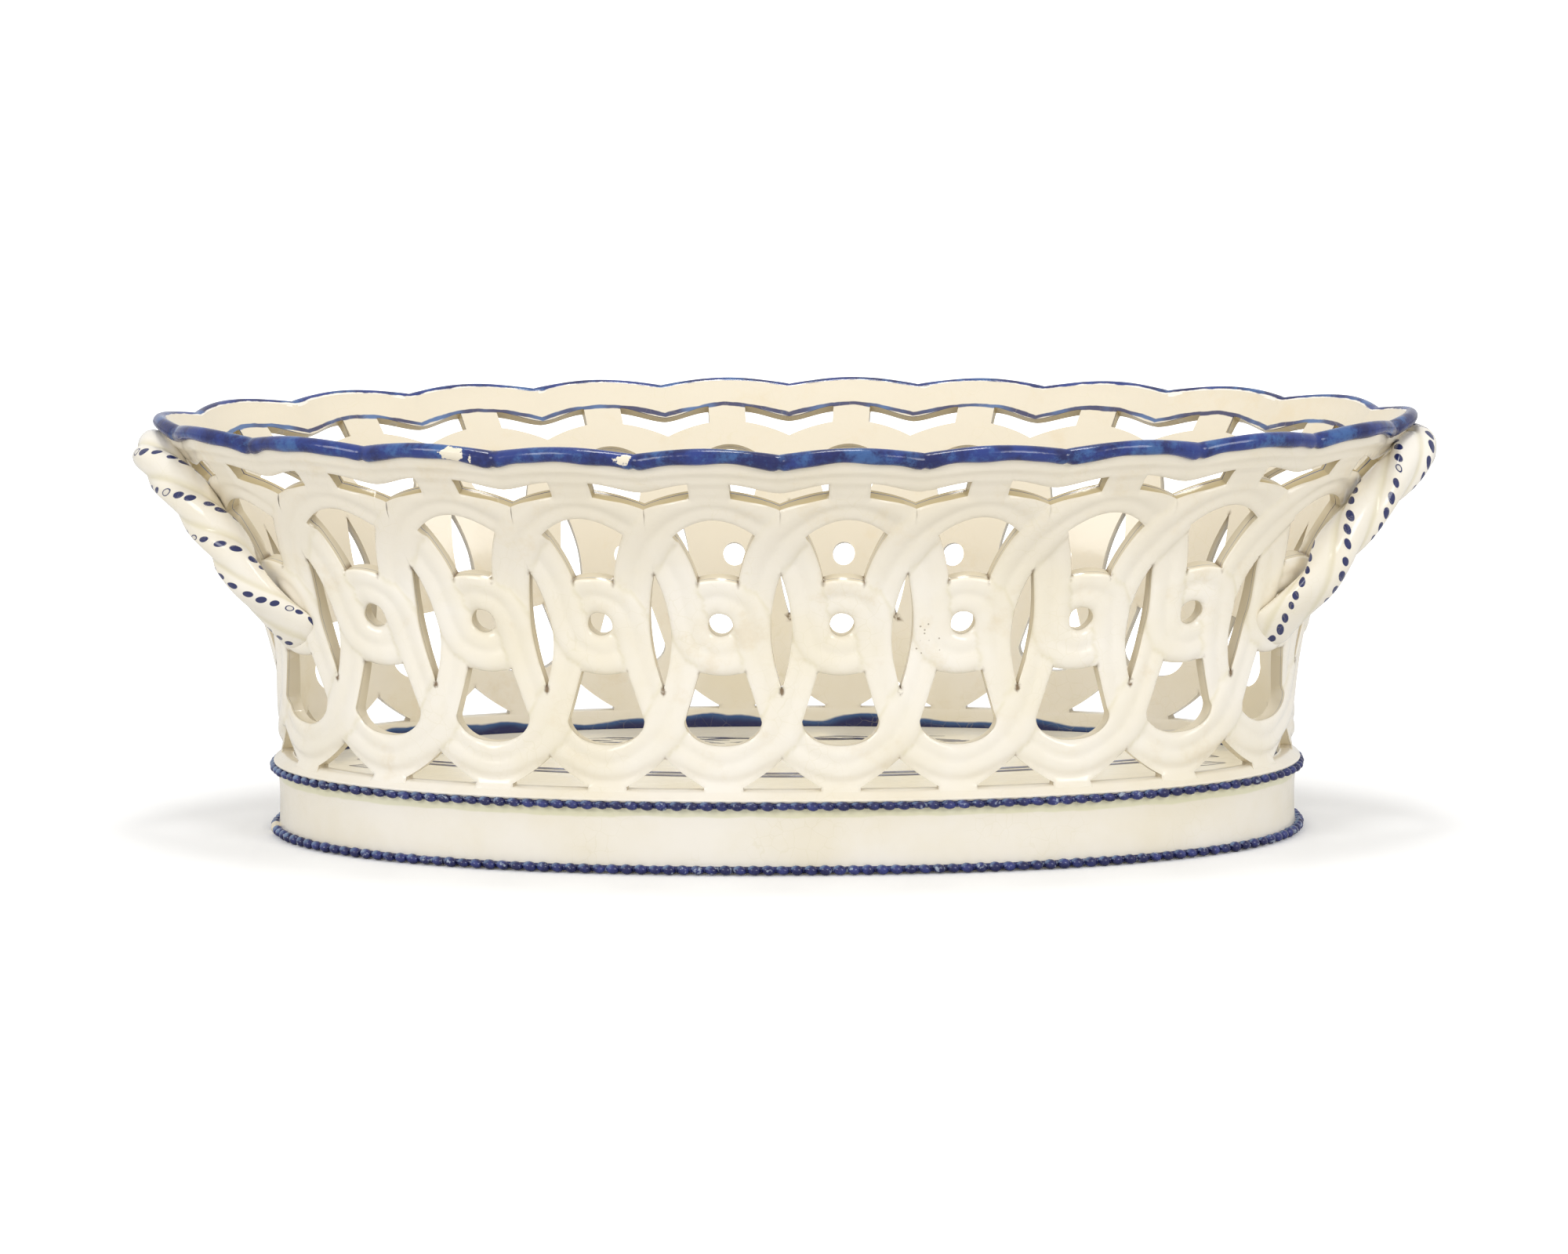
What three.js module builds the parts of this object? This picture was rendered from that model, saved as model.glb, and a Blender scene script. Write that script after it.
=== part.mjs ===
// Pierced creamware basket: an oval foot with two bead mouldings, a flared wall of interlaced
// straps, a scalloped rim and two twisted rope handles. Millimetres, +Z up.
// The origin is under the middle of the foot, the long axis is X and the front faces -Y.
import * as THREE from 'three';
import { mergeVertices } from 'three/addons/utils/BufferGeometryUtils.js';

// Pattern count
const motifCount = 22;

// Clearance between pieces that rest on each other
const seatGap = 0.3;

// Foot
const footHalfLength = 109.6;
const footHalfWidth = 56.2;
const footOvalPower = 2.2;
const footWallDepth = 6.4;
const beadRadius = 1.0;
const beadDepth = 1.7;
const lowerBeadHeight = 1.1;
const upperBeadHeight = 14.4;

// Coved ledge over the upper beads: its lip's overhang and face, and the cove's rise to the straps
const ledgeOverhang = 1.0;
const ledgeLip = 0.8;
const ledgeRise = 1.6;
const ledgeLipHeight = upperBeadHeight + beadRadius + seatGap;
const ledgeHeight = ledgeLipHeight + ledgeRise;

// Floor of the basket, which lies lower than the ledge
const floorDrop = 4.4;
const floorThickness = 4.0;
const floorSeatWidth = 2.4;
const floorHeight = ledgeHeight - floorDrop;

// Wall, measured on its middle surface, which stands inside the foot's outline
const wallThickness = 2.8;
const wallEndInset = 2.0;
const wallSideInset = 3.0;
const wallOvalPower = 2.2;
const wallHalfLength = footHalfLength - wallEndInset;
const wallHalfWidth = footHalfWidth - wallSideInset;

// Strap openings from the ledge upwards: each rise is measured from the height worked out before it
const tabHalfWidth = 4.25;
const triangleRise = 6.4;
const triangleBow = 0.35;
const triangleApexHeight = ledgeHeight + triangleRise;
const horseshoeBaseRise = 2.7;
const horseshoeBowlDepth = 5.2;
const horseshoeSideRise = 10.2;
const horseshoeHalfWidth = 7.9;
const horseshoeTopHalfWidth = 4.7;
const horseshoeBottomHeight = triangleApexHeight + horseshoeBaseRise;
const horseshoeWidestHeight = horseshoeBottomHeight + horseshoeBowlDepth;
const horseshoeTopHeight = horseshoeWidestHeight + horseshoeSideRise;
const bossLowerReach = 10.1;
const bossUpperReach = 9.3;
const bossHoleRadius = 2.5;
const bossHookSag = 0.7;
const bossHeight = horseshoeTopHeight + bossLowerReach;
const lensHalfWidth = 2.15;
const lensLowerReach = 13.6;
const lensUpperReach = 11.1;
const lensBottomHeight = bossHeight - lensLowerReach;
const lensTopHeight = bossHeight + lensUpperReach;
const fanSideRise = 10.5;
const fanArchRise = 3.5;
const fanHalfWidth = 8.35;
const fanBottomHalfWidth = 4.15;
const fanSideBow = 0.4;
const fanBottomHeight = bossHeight + bossUpperReach;
const fanCornerHeight = fanBottomHeight + fanSideRise;
const fanTopHeight = fanCornerHeight + fanArchRise;
const postHalfWidth = 4.15;
const chevronBaseRise = 1.8;
const chevronPitchRise = 2.8;
const chevronCuspDepth = 4.0;
const chevronSideDepth = 3.4;
const chevronBow = 0.35;
const chevronCuspBottomHeight = fanTopHeight + chevronBaseRise;
const chevronSideBottomHeight = chevronCuspBottomHeight + chevronPitchRise;
const chevronCuspTopHeight = chevronCuspBottomHeight + chevronCuspDepth;
const chevronSideTopHeight = chevronSideBottomHeight + chevronSideDepth;

// Rim, measured at the cusps between the scallops and at their crowns. It overhangs the wall's foot.
const collarRise = 4.0;
const rimEndOverhang = 23.2;
const rimSideOverhang = 18.8;
const rimCrownReach = 1.6;
const rimCrownRise = 1.4;
const rimOvalPower = 1.88;
const rollRadius = 1.4;
const scallopRampHeight = 12.0;
const rimCuspHeight = chevronSideTopHeight + collarRise;
const rimCrownHeight = rimCuspHeight + rimCrownRise;
const rimCuspHalfLength = wallHalfLength + rimEndOverhang;
const rimCuspHalfWidth = wallHalfWidth + rimSideOverhang;

// Flare of the wall, which starts over the ledge and ends at the rim
const endFlareRise = 10.7;
const endFlarePower = 1.8;
const sideFlareRise = 28.7;
const sideFlarePower = 1.7;
const endFlareStart = ledgeHeight + endFlareRise;
const sideFlareStart = ledgeHeight + sideFlareRise;

// Rope handles, hung from under the rim down to beside the bosses
const strandCount = 3;
const strandRadius = 2.15;
const strandClearance = 0.5;
const ropeLead = 39.0;
const terminalLength = 14.0;
const terminalTipHalfWidth = 4.2;
const terminalTipHalfDepth = 1.3;
const handleTipDrop = 6.5;
const handleTopDrop = 1.9;
const handleTipHeight = bossHeight - handleTipDrop;
const handleTopHeight = rimCuspHeight - handleTopDrop;

// Subdivision
const ringSteps = 88;
const rollStepsPerMotif = 6;
const rollSides = 8;
const strandSteps = 34;
const strandSides = 8;
const terminalSteps = 5;
const terminalSides = 12;
const beadSteps = 4;
const lensSteps = 8;
const fanTopSteps = 6;
const hookSteps = 3;
const holeSides = 12;
const horseshoeSteps = 8;
const quadrantSteps = 240;

// Length over which the wall's slope is measured, distance within which two vertices are one, and
// rounding that a share of the girth may carry
const slopeStep = wallThickness / 8;
const mergeDistance = seatGap / 1000;
const roundingShare = 1e-9;

const creamGlaze = { color: 0xf1e8d4, roughness: 0.2, metalness: 0 };
const blueGlaze = { color: 0x38499c, roughness: 0.2, metalness: 0 };

const UP = new THREE.Vector3(0, 0, 1);
const lerp = THREE.MathUtils.lerp;
const clamp = THREE.MathUtils.clamp;

// An oval (superellipse) that is walked by the share of its girth, counter-clockwise from the front
class Oval {
  constructor(halfLength, halfWidth, squareness) {
    this.halfLength = halfLength;
    this.halfWidth = halfWidth;
    this.power = 2 / squareness;
    this.lengths = [0];
    let last = this.quadrantPoint(0);
    for (let i = 1; i <= quadrantSteps; i++) {
      const next = this.quadrantPoint((i / quadrantSteps) * (Math.PI / 2));
      this.lengths.push(this.lengths[i - 1] + next.distanceTo(last));
      last = next;
    }
    this.girth = 4 * this.lengths[quadrantSteps];
  }

  // The quarter from the front, at angle 0, to the +X end
  quadrantPoint(angle) {
    const x = this.halfLength * Math.sin(angle) ** this.power;
    return new THREE.Vector2(x, this.halfWidth * Math.cos(angle) ** this.power);
  }

  angleAt(length) {
    let i = 1;
    while (i < quadrantSteps && this.lengths[i] < length) i++;
    const span = this.lengths[i] - this.lengths[i - 1];
    const part = clamp((length - this.lengths[i - 1]) / span, 0, 1);
    return ((i - 1 + part) / quadrantSteps) * (Math.PI / 2);
  }

  // Point and outward direction in the plan at a share of the girth
  at(share) {
    const turn = (((share % 1) + 1) % 1) * 4;
    const quarter = Math.min(Math.floor(turn + roundingShare), 3);
    const along = clamp(turn - quarter, 0, 1) * (this.girth / 4);
    const fromFront = quarter % 2 === 0 ? along : this.girth / 4 - along;
    const p = this.quadrantPoint(this.angleAt(fromFront));
    const signX = quarter < 2 ? 1 : -1;
    const signY = quarter === 0 || quarter === 3 ? -1 : 1;
    const steepness = 2 / this.power - 1;
    const nx = (p.x / this.halfLength) ** steepness / this.halfLength;
    const ny = (p.y / this.halfWidth) ** steepness / this.halfWidth;
    const normal = new THREE.Vector3(signX * nx, signY * ny, 0).normalize();
    return { point: new THREE.Vector3(signX * p.x, signY * p.y, 0), normal };
  }
}

// How far a place on the rim is from a cusp (0) towards a crown (1)
const scallop = (share) => Math.abs(Math.sin(Math.PI * motifCount * share));

// The scallops are pulled outwards only towards the ends of the oval
function scallopReach(share) {
  const atEnd = Math.abs(Math.sin(2 * Math.PI * share));
  return rimCrownReach * scallop(share) * atEnd;
}

// Middle surface of the wall: its oval at each height, kept because many points share a height
const wallOvals = new Map();
function wallOval(height) {
  if (!wallOvals.has(height)) {
    const endRise = Math.max(0, height - endFlareStart) / (rimCuspHeight - endFlareStart);
    const sideRise = Math.max(0, height - sideFlareStart) / (rimCuspHeight - sideFlareStart);
    const endFlare = endRise ** endFlarePower;
    const sideFlare = sideRise ** sideFlarePower;
    const halfLength = lerp(wallHalfLength, rimCuspHalfLength, endFlare);
    const halfWidth = lerp(wallHalfWidth, rimCuspHalfWidth, sideFlare);
    const squareness = lerp(wallOvalPower, rimOvalPower, endFlare);
    wallOvals.set(height, new Oval(halfLength, halfWidth, squareness));
  }
  return wallOvals.get(height);
}

function wallMiddle(share, height) {
  const { point, normal } = wallOval(height).at(share);
  const rampStart = rimCuspHeight - scallopRampHeight;
  const ramp = clamp((height - rampStart) / scallopRampHeight, 0, 1) ** 2;
  point.addScaledVector(normal, ramp * scallopReach(share));
  point.z = height;
  return { point, normal };
}

// Point on the wall at an offset square to its middle surface, outwards positive
function wallPoint(share, height, offset) {
  const { point, normal } = wallMiddle(share, height);
  const above = wallMiddle(share, height + slopeStep).point;
  const below = wallMiddle(share, height - slopeStep).point;
  const slope = above.sub(below).dot(normal) / (2 * slopeStep);
  const square = normal.clone().addScaledVector(UP, -slope).normalize();
  return { point: point.addScaledVector(square, offset), normal: square };
}

const pitchAt = (height) => wallOval(height).girth / motifCount;

// A point of the strap pattern: x across from the motif's middle line, in millimetres
const patternPoint = (x, height) => new THREE.Vector2(x, height);
const cuspPoint = (side, inset, height) =>
  patternPoint(side * (pitchAt(height) / 2 - inset), height);

// Lower edge of the wall's rim band under the roll, at a share of the pitch from the middle line
function rimEdgeHeight(pitchShare) {
  const towardsCrown = Math.cos(Math.PI * pitchShare);
  return lerp(rimCuspHeight, rimCrownHeight, towardsCrown) - rollRadius - seatGap;
}

// Right half of a motif's outline, from the tab at the foot to the rim, without its mirror image
function motifOutlineHalf() {
  const points = [];
  const open = [];
  const push = (point, isOpen) => {
    points.push(point);
    open.push(isOpen);
  };
  const wallFoot = ledgeHeight + seatGap;
  push(patternPoint(tabHalfWidth, wallFoot), true);
  const triangleHeight = (wallFoot + triangleApexHeight) / 2;
  const triangleX = (tabHalfWidth + pitchAt(triangleHeight) / 2) / 2;
  push(patternPoint(triangleX + triangleBow, triangleHeight - triangleBow), true);
  push(cuspPoint(1, 0, triangleApexHeight), false);
  push(cuspPoint(1, 0, (triangleApexHeight + lensBottomHeight) / 2), false);
  for (let i = 0; i <= lensSteps; i++) {
    const share = i / lensSteps;
    const inset = lensHalfWidth * 4 * share * (1 - share);
    push(cuspPoint(1, inset, lerp(lensBottomHeight, lensTopHeight, share)), i < lensSteps);
  }
  push(cuspPoint(1, 0, (lensTopHeight + chevronCuspBottomHeight) / 2), false);
  push(cuspPoint(1, 0, chevronCuspBottomHeight), true);
  const lowMiddle = (chevronCuspBottomHeight + chevronSideBottomHeight) / 2;
  push(patternPoint((postHalfWidth + pitchAt(lowMiddle) / 2) / 2, lowMiddle + chevronBow), true);
  push(patternPoint(postHalfWidth, chevronSideBottomHeight), true);
  push(patternPoint(postHalfWidth, chevronSideTopHeight), true);
  const highMiddle = (chevronCuspTopHeight + chevronSideTopHeight) / 2;
  push(patternPoint((postHalfWidth + pitchAt(highMiddle) / 2) / 2, highMiddle + chevronBow), true);
  push(cuspPoint(1, 0, chevronCuspTopHeight), false);
  push(cuspPoint(1, 0, rimEdgeHeight(0.5)), true);
  const rimShares = [3 / 8, 1 / 4, 1 / 8];
  for (const share of rimShares) {
    const height = rimEdgeHeight(share);
    push(patternPoint(share * pitchAt(height), height), true);
  }
  return { points, open };
}

const mirrored = (point) => patternPoint(-point.x, point.y);

// Whole outline of a motif, and for each of its edges whether a side of the clay shows there
function motifOutline() {
  const half = motifOutlineHalf();
  const points = [...half.points, patternPoint(0, rimEdgeHeight(0))];
  const open = [...half.open, true];
  for (let i = half.points.length - 1; i >= 0; i--) {
    points.push(mirrored(half.points[i]));
    open.push(i > 0 ? half.open[i - 1] : true);
  }
  return { points, open };
}

// Points of an upright arc between two equal heights, bulging by rise in the middle
function arcPoints(halfWidth, height, rise, steps) {
  const points = [];
  for (let i = 0; i <= steps; i++) {
    const x = lerp(-1, 1, i / steps);
    points.push(patternPoint(halfWidth * x, height + rise * (1 - x * x)));
  }
  return points;
}

// Opening over the boss: arched at the top, waisted sides, arched where the boss's hook closes it
function fanOpening() {
  const topRise = fanTopHeight - fanCornerHeight;
  const top = arcPoints(fanHalfWidth, fanCornerHeight, topRise, fanTopSteps);
  const bottom = arcPoints(fanBottomHalfWidth, fanBottomHeight, bossHookSag, hookSteps);
  const sideX = (fanHalfWidth + fanBottomHalfWidth) / 2 - fanSideBow;
  const sideHeight = (fanCornerHeight + fanBottomHeight) / 2;
  const right = patternPoint(sideX, sideHeight);
  return [...bottom, right, ...top.reverse(), mirrored(right)];
}

function bossHole() {
  const points = [];
  for (let i = 0; i < holeSides; i++) {
    const angle = (2 * Math.PI * i) / holeSides;
    const x = bossHoleRadius * Math.cos(angle);
    points.push(patternPoint(x, bossHeight + bossHoleRadius * Math.sin(angle)));
  }
  return points;
}

// Opening under the boss: a round bottom loop that narrows up to the boss
function horseshoeOpening() {
  const top = arcPoints(horseshoeTopHalfWidth, horseshoeTopHeight, -bossHookSag, hookSteps);
  const points = top.reverse();
  const depth = horseshoeWidestHeight - horseshoeBottomHeight;
  for (let i = 0; i <= horseshoeSteps; i++) {
    const angle = Math.PI * (1 + i / horseshoeSteps);
    const x = horseshoeHalfWidth * Math.cos(angle);
    points.push(patternPoint(x, horseshoeWidestHeight + depth * Math.sin(angle)));
  }
  return points;
}

// Collects triangles of one closed body
class Shell {
  constructor() {
    this.positions = [];
  }

  triangle(a, b, c) {
    for (const p of [a, b, c]) this.positions.push(p.x, p.y, p.z);
  }

  quad(a, b, c, d) {
    this.triangle(a, b, c);
    this.triangle(a, c, d);
  }

  // A fan that closes a ring of points
  cap(ring, centre) {
    ring.forEach((p, i) => this.triangle(centre, p, ring[(i + 1) % ring.length]));
  }

  geometry() {
    const raw = new THREE.BufferGeometry();
    raw.setAttribute('position', new THREE.Float32BufferAttribute(this.positions, 3));
    const merged = mergeVertices(raw, mergeDistance);
    merged.computeVertexNormals();
    return merged;
  }
}

// The whole wall in one piece: every motif's face outside and inside, and the sides of its openings
function piercedWall() {
  const outline = motifOutline();
  const holes = [fanOpening(), bossHole(), horseshoeOpening()];
  const faces = THREE.ShapeUtils.triangulateShape(outline.points, holes);
  const flat = [outline.points, ...holes].flat();
  const edges = [];
  outline.points.forEach((_, i) => {
    if (outline.open[i]) edges.push([i, (i + 1) % outline.points.length]);
  });
  let first = outline.points.length;
  for (const hole of holes) {
    const isClockwise = THREE.ShapeUtils.isClockWise(hole);
    hole.forEach((_, i) => {
      const edge = [first + i, first + ((i + 1) % hole.length)];
      edges.push(isClockwise ? edge : edge.reverse());
    });
    first += hole.length;
  }
  const shell = new Shell();
  for (let k = 0; k < motifCount; k++) {
    const place = (offset) => flat.map((p) => {
      const share = (k + 0.5 + p.x / pitchAt(p.y)) / motifCount;
      return wallPoint(share, p.y, offset).point;
    });
    const outside = place(wallThickness / 2);
    const inside = place(-wallThickness / 2);
    for (const [a, b, c] of faces) {
      shell.triangle(outside[a], outside[b], outside[c]);
      shell.triangle(inside[a], inside[c], inside[b]);
    }
    for (const [a, b] of edges) shell.quad(outside[a], inside[a], inside[b], outside[b]);
  }
  return shell.geometry();
}

// A closed ring with one profile all the way round. section(share) gives its points, anticlockwise
// when seen with the outside of the basket to the right.
function sweptRing(steps, section) {
  const rings = [];
  for (let i = 0; i < steps; i++) rings.push(section(i / steps));
  const shell = new Shell();
  rings.forEach((ring, i) => {
    const next = rings[(i + 1) % steps];
    ring.forEach((p, j) => {
      const k = (j + 1) % ring.length;
      shell.quad(p, next[j], next[k], ring[k]);
    });
  });
  return shell.geometry();
}

// Joins rings of points into a closed body with a fan over each end
function loft(rings) {
  const shell = new Shell();
  const centreOf = (ring) => {
    const centre = new THREE.Vector3();
    ring.forEach((p) => centre.add(p));
    return centre.divideScalar(ring.length);
  };
  for (let i = 0; i + 1 < rings.length; i++) {
    rings[i].forEach((p, j) => {
      const k = (j + 1) % rings[i].length;
      shell.quad(p, rings[i][k], rings[i + 1][k], rings[i + 1][j]);
    });
  }
  const last = rings[rings.length - 1];
  shell.cap([...rings[0]].reverse(), centreOf(rings[0]));
  shell.cap(last, centreOf(last));
  return shell.geometry();
}

const footOval = new Oval(footHalfLength, footHalfWidth, footOvalPower);
const wallFootOval = wallOval(ledgeHeight);

// A place at a distance outwards from an oval
function offsetPoint(oval, share, out, height) {
  const { point, normal } = oval.at(share);
  return point.addScaledVector(normal, out).setZ(height);
}

// Foot wall with the coved ledge that carries the straps and the seat that carries the floor
function footRing() {
  const seatHeight = floorHeight - floorThickness - seatGap;
  const wallFace = wallThickness / 2;
  return sweptRing(ringSteps, (share) => [
    offsetPoint(footOval, share, 0, 0),
    offsetPoint(footOval, share, 0, ledgeLipHeight),
    offsetPoint(footOval, share, ledgeOverhang, ledgeLipHeight),
    offsetPoint(footOval, share, ledgeOverhang / 2, ledgeLipHeight + ledgeLip),
    offsetPoint(wallFootOval, share, wallFace, ledgeHeight),
    offsetPoint(wallFootOval, share, -wallFace, ledgeHeight),
    offsetPoint(wallFootOval, share, -wallFace, seatHeight),
    offsetPoint(wallFootOval, share, -wallFace - floorSeatWidth, seatHeight),
    offsetPoint(footOval, share, -footWallDepth, 0),
  ]);
}

// Half-round string of beads that wraps the foot
function beadString(height) {
  const profile = [[0, -beadRadius]];
  for (let i = 1; i < beadSteps; i++) {
    const angle = Math.PI * (i / beadSteps - 1 / 2);
    profile.push([beadDepth * Math.cos(angle), beadRadius * Math.sin(angle)]);
  }
  profile.push([0, beadRadius]);
  return sweptRing(ringSteps, (share) => profile.map(([out, rise]) => (
    offsetPoint(footOval, share, seatGap + out, height + rise))));
}

// Plate inside the foot, resting on the foot's seat
function floorPlate() {
  const edge = -wallThickness / 2 - seatGap;
  const ringAt = (height) => {
    const ring = [];
    for (let i = 0; i < ringSteps; i++) {
      ring.push(offsetPoint(wallFootOval, i / ringSteps, edge, height));
    }
    return ring;
  };
  return loft([ringAt(floorHeight - floorThickness), ringAt(floorHeight)]);
}

// Rounded lip along the scallops, in line with the wall's middle surface
function rimRoll() {
  return sweptRing(motifCount * rollStepsPerMotif, (share) => {
    const height = lerp(rimCuspHeight, rimCrownHeight, scallop(share));
    const { point, normal } = wallMiddle(share, height);
    const ring = [];
    for (let i = 0; i < rollSides; i++) {
      const angle = (2 * Math.PI * i) / rollSides;
      const out = normal.clone().multiplyScalar(rollRadius * Math.cos(angle));
      ring.push(point.clone().add(out).addScaledVector(UP, rollRadius * Math.sin(angle)));
    }
    return ring;
  });
}

// Strands lie this far from the rope's middle line, so that three of them just clear each other
const strandOffset = (2 * strandRadius + strandClearance) / Math.sqrt(3);
const ropeRadius = strandOffset + strandRadius;

// Middle line of the rope at the +X end. Each station is [pitches from the end, share of the rise up
// the wall, stand-off from the wall as a share of the rope's radius].
const handleStationShares = [
  [1.16, 0.0, 0.46],
  [1.0, 0.18, 0.8],
  [0.93, 0.34, 1.08],
  [0.86, 0.52, 1.06],
  [0.575, 0.82, 1.08],
  [0.24, 0.985, 1.05],
  [0.0, 1.0, 1.03],
];

function handleLine() {
  const stations = [];
  for (const station of handleStationShares) stations.push([-station[0], station[1], station[2]]);
  for (const station of [...handleStationShares].reverse().slice(1)) stations.push(station);
  const middle = [];
  const outer = [];
  for (const [pitches, rise, standShare] of stations) {
    const share = 1 / 4 + pitches / motifCount;
    const height = lerp(handleTipHeight, handleTopHeight, rise);
    const stand = wallThickness / 2 + seatGap + ropeRadius * standShare;
    const { point, normal } = wallPoint(share, height, stand);
    middle.push(point);
    outer.push(point.clone().add(normal));
  }
  return {
    middle: new THREE.CatmullRomCurve3(middle),
    outer: new THREE.CatmullRomCurve3(outer),
  };
}

const handle = handleLine();
const handleLength = handle.middle.getLength();

// Place and square directions on the rope's middle line, at a length from its front end
function ropeFrame(length) {
  const t = handle.middle.getUtoTmapping(length / handleLength);
  const point = handle.middle.getPoint(t);
  const along = handle.middle.getTangent(t);
  const out = handle.outer.getPoint(t).sub(point);
  out.addScaledVector(along, -out.dot(along)).normalize();
  return { point, along, out, across: along.clone().cross(out) };
}

// Points of an ellipse round a place, anticlockwise about out x across
function ellipseRing(frame, outRadius, acrossRadius, sides) {
  const ring = [];
  for (let i = 0; i < sides; i++) {
    const angle = (2 * Math.PI * i) / sides;
    const p = frame.point.clone();
    p.addScaledVector(frame.out, outRadius * Math.cos(angle));
    p.addScaledVector(frame.across, acrossRadius * Math.sin(angle));
    ring.push(p);
  }
  return ring;
}

// One strand of the left-handed twist, between the two terminals
function ropeStrand(index) {
  const start = terminalLength + seatGap;
  const length = handleLength - 2 * start;
  const place = (i) => {
    const at = start + (length * i) / strandSteps;
    const frame = ropeFrame(clamp(at, 0, handleLength));
    const turn = -2 * Math.PI * (at / ropeLead + index / strandCount);
    const p = frame.point.clone();
    p.addScaledVector(frame.out, strandOffset * Math.cos(turn));
    p.addScaledVector(frame.across, strandOffset * Math.sin(turn));
    return { point: p, frame };
  };
  const rings = [];
  for (let i = 0; i <= strandSteps; i++) {
    const { point, frame } = place(i);
    const isEnd = i === 0 || i === strandSteps;
    const along = isEnd ? frame.along : place(i + 1).point.sub(place(i - 1).point).normalize();
    const out = frame.out.clone().addScaledVector(along, -frame.out.dot(along)).normalize();
    const across = along.clone().cross(out);
    rings.push(ellipseRing({ point, out, across }, strandRadius, strandRadius, strandSides));
  }
  return loft(rings);
}

// Flattened end of the rope, pressed on the wall: round where the strands meet it, flat at the tip
function ropeTerminal(isFront) {
  const rings = [];
  for (let i = 0; i <= terminalSteps; i++) {
    const share = i / terminalSteps;
    const spread = Math.sqrt(share);
    const frame = ropeFrame(isFront ? share * terminalLength : handleLength - share * terminalLength);
    const halfDepth = lerp(terminalTipHalfDepth, ropeRadius, share ** 2);
    const halfWidth = lerp(terminalTipHalfWidth, ropeRadius, spread);
    rings.push(ellipseRing(frame, halfDepth, halfWidth, terminalSides));
  }
  return loft(isFront ? rings : rings.reverse());
}

function piece(name, geometry, finish) {
  const mesh = new THREE.Mesh(geometry, new THREE.MeshStandardMaterial(finish));
  mesh.name = name;
  return mesh;
}

// Strands and terminals of one handle, built at the +X end and turned to its side
function ropeHandle(side, turn) {
  const group = new THREE.Group();
  for (let i = 0; i < strandCount; i++) {
    group.add(piece(`${side}_handle_strand_${i + 1}`, ropeStrand(i), creamGlaze));
  }
  const nearIsFront = turn === 0;
  const names = nearIsFront ? ['front', 'back'] : ['back', 'front'];
  group.add(piece(`${side}_handle_${names[0]}_terminal`, ropeTerminal(true), creamGlaze));
  group.add(piece(`${side}_handle_${names[1]}_terminal`, ropeTerminal(false), creamGlaze));
  group.rotation.z = turn;
  return group;
}

const basket = new THREE.Group();
basket.add(piece('foot_ring', footRing(), creamGlaze));
basket.add(piece('floor_plate', floorPlate(), creamGlaze));
basket.add(piece('lower_bead_string', beadString(lowerBeadHeight), blueGlaze));
basket.add(piece('upper_bead_string', beadString(upperBeadHeight), blueGlaze));
basket.add(piece('pierced_wall', piercedWall(), creamGlaze));
basket.add(piece('rim_roll', rimRoll(), blueGlaze));
basket.add(ropeHandle('right', 0));
basket.add(ropeHandle('left', Math.PI));

export default basket;
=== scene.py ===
import math

import bmesh
import bpy
import numpy as np
from mathutils import Euler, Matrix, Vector
from mathutils.geometry import delaunay_2d_cdt


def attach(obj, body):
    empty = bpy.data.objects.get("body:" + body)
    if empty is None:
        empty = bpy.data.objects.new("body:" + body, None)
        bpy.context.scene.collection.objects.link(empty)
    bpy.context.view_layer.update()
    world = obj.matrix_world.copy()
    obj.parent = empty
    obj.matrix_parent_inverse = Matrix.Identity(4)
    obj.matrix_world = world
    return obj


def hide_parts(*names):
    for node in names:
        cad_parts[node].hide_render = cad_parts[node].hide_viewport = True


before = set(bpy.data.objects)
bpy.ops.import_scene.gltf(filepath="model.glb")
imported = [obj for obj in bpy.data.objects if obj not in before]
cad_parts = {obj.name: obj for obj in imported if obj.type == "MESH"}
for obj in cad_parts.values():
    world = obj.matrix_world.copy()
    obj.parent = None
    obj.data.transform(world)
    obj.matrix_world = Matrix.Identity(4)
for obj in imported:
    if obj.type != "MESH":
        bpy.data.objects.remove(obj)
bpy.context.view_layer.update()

# Pierced creamware basket. The sizes are in millimetres, as on the potter's drawing, and each mesh
# is brought to metres when it is made. +X is towards the right handle and -Y towards the front.
MM = 0.001
BODY = "root"

# Sizes that the frame was built from. An oval is half its length, half its width and its power.
MOTIFS = 22
FOOT_OVAL = (109.6, 56.2, 2.2)
LEDGE_HEIGHT = 17.3
FOOT_WALL_DEPTH = 6.4
BEAD_RADIUS = 1.0
LOWER_BEAD_HEIGHT = 1.1
UPPER_BEAD_HEIGHT = 14.4
FLOOR_HEIGHT = 12.9
FLOOR_THICKNESS = 4.0
FLOOR_SEAT_WIDTH = 2.4
WALL_THICKNESS = 2.8
WALL_OVAL = (107.6, 53.2, 2.2)
RIM_OVAL = (130.8, 72.0, 1.88)
END_FLARE_START = 28.0
END_FLARE_POWER = 1.8
SIDE_FLARE_START = 46.0
SIDE_FLARE_POWER = 1.7
RIM_CUSP_HEIGHT = 87.2
RIM_CROWN_HEIGHT = 88.6
RIM_CROWN_REACH = 1.6
SCALLOP_RAMP = 12.0
ROLL_RADIUS = 1.4
TAB = {"half_width": 3.95, "foot": 16.0, "spread": 0.7, "waist": 0.5, "foot_bow": 0.12, "bow": -0.3}
TRIANGLE_APEX = 23.7
LENS = {"half_width": 2.15, "bottom": 38.3, "top": 63.0, "power": 0.9}
BOSS_HEIGHT = 51.9
BOSS_HOLE_RADIUS = 2.5
FAN = {"bottom": 61.2, "bottom_half": 4.15, "hook": 0.7, "corner": 71.7, "half": 8.35, "top": 75.2,
       "bow": 0.45}
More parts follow.
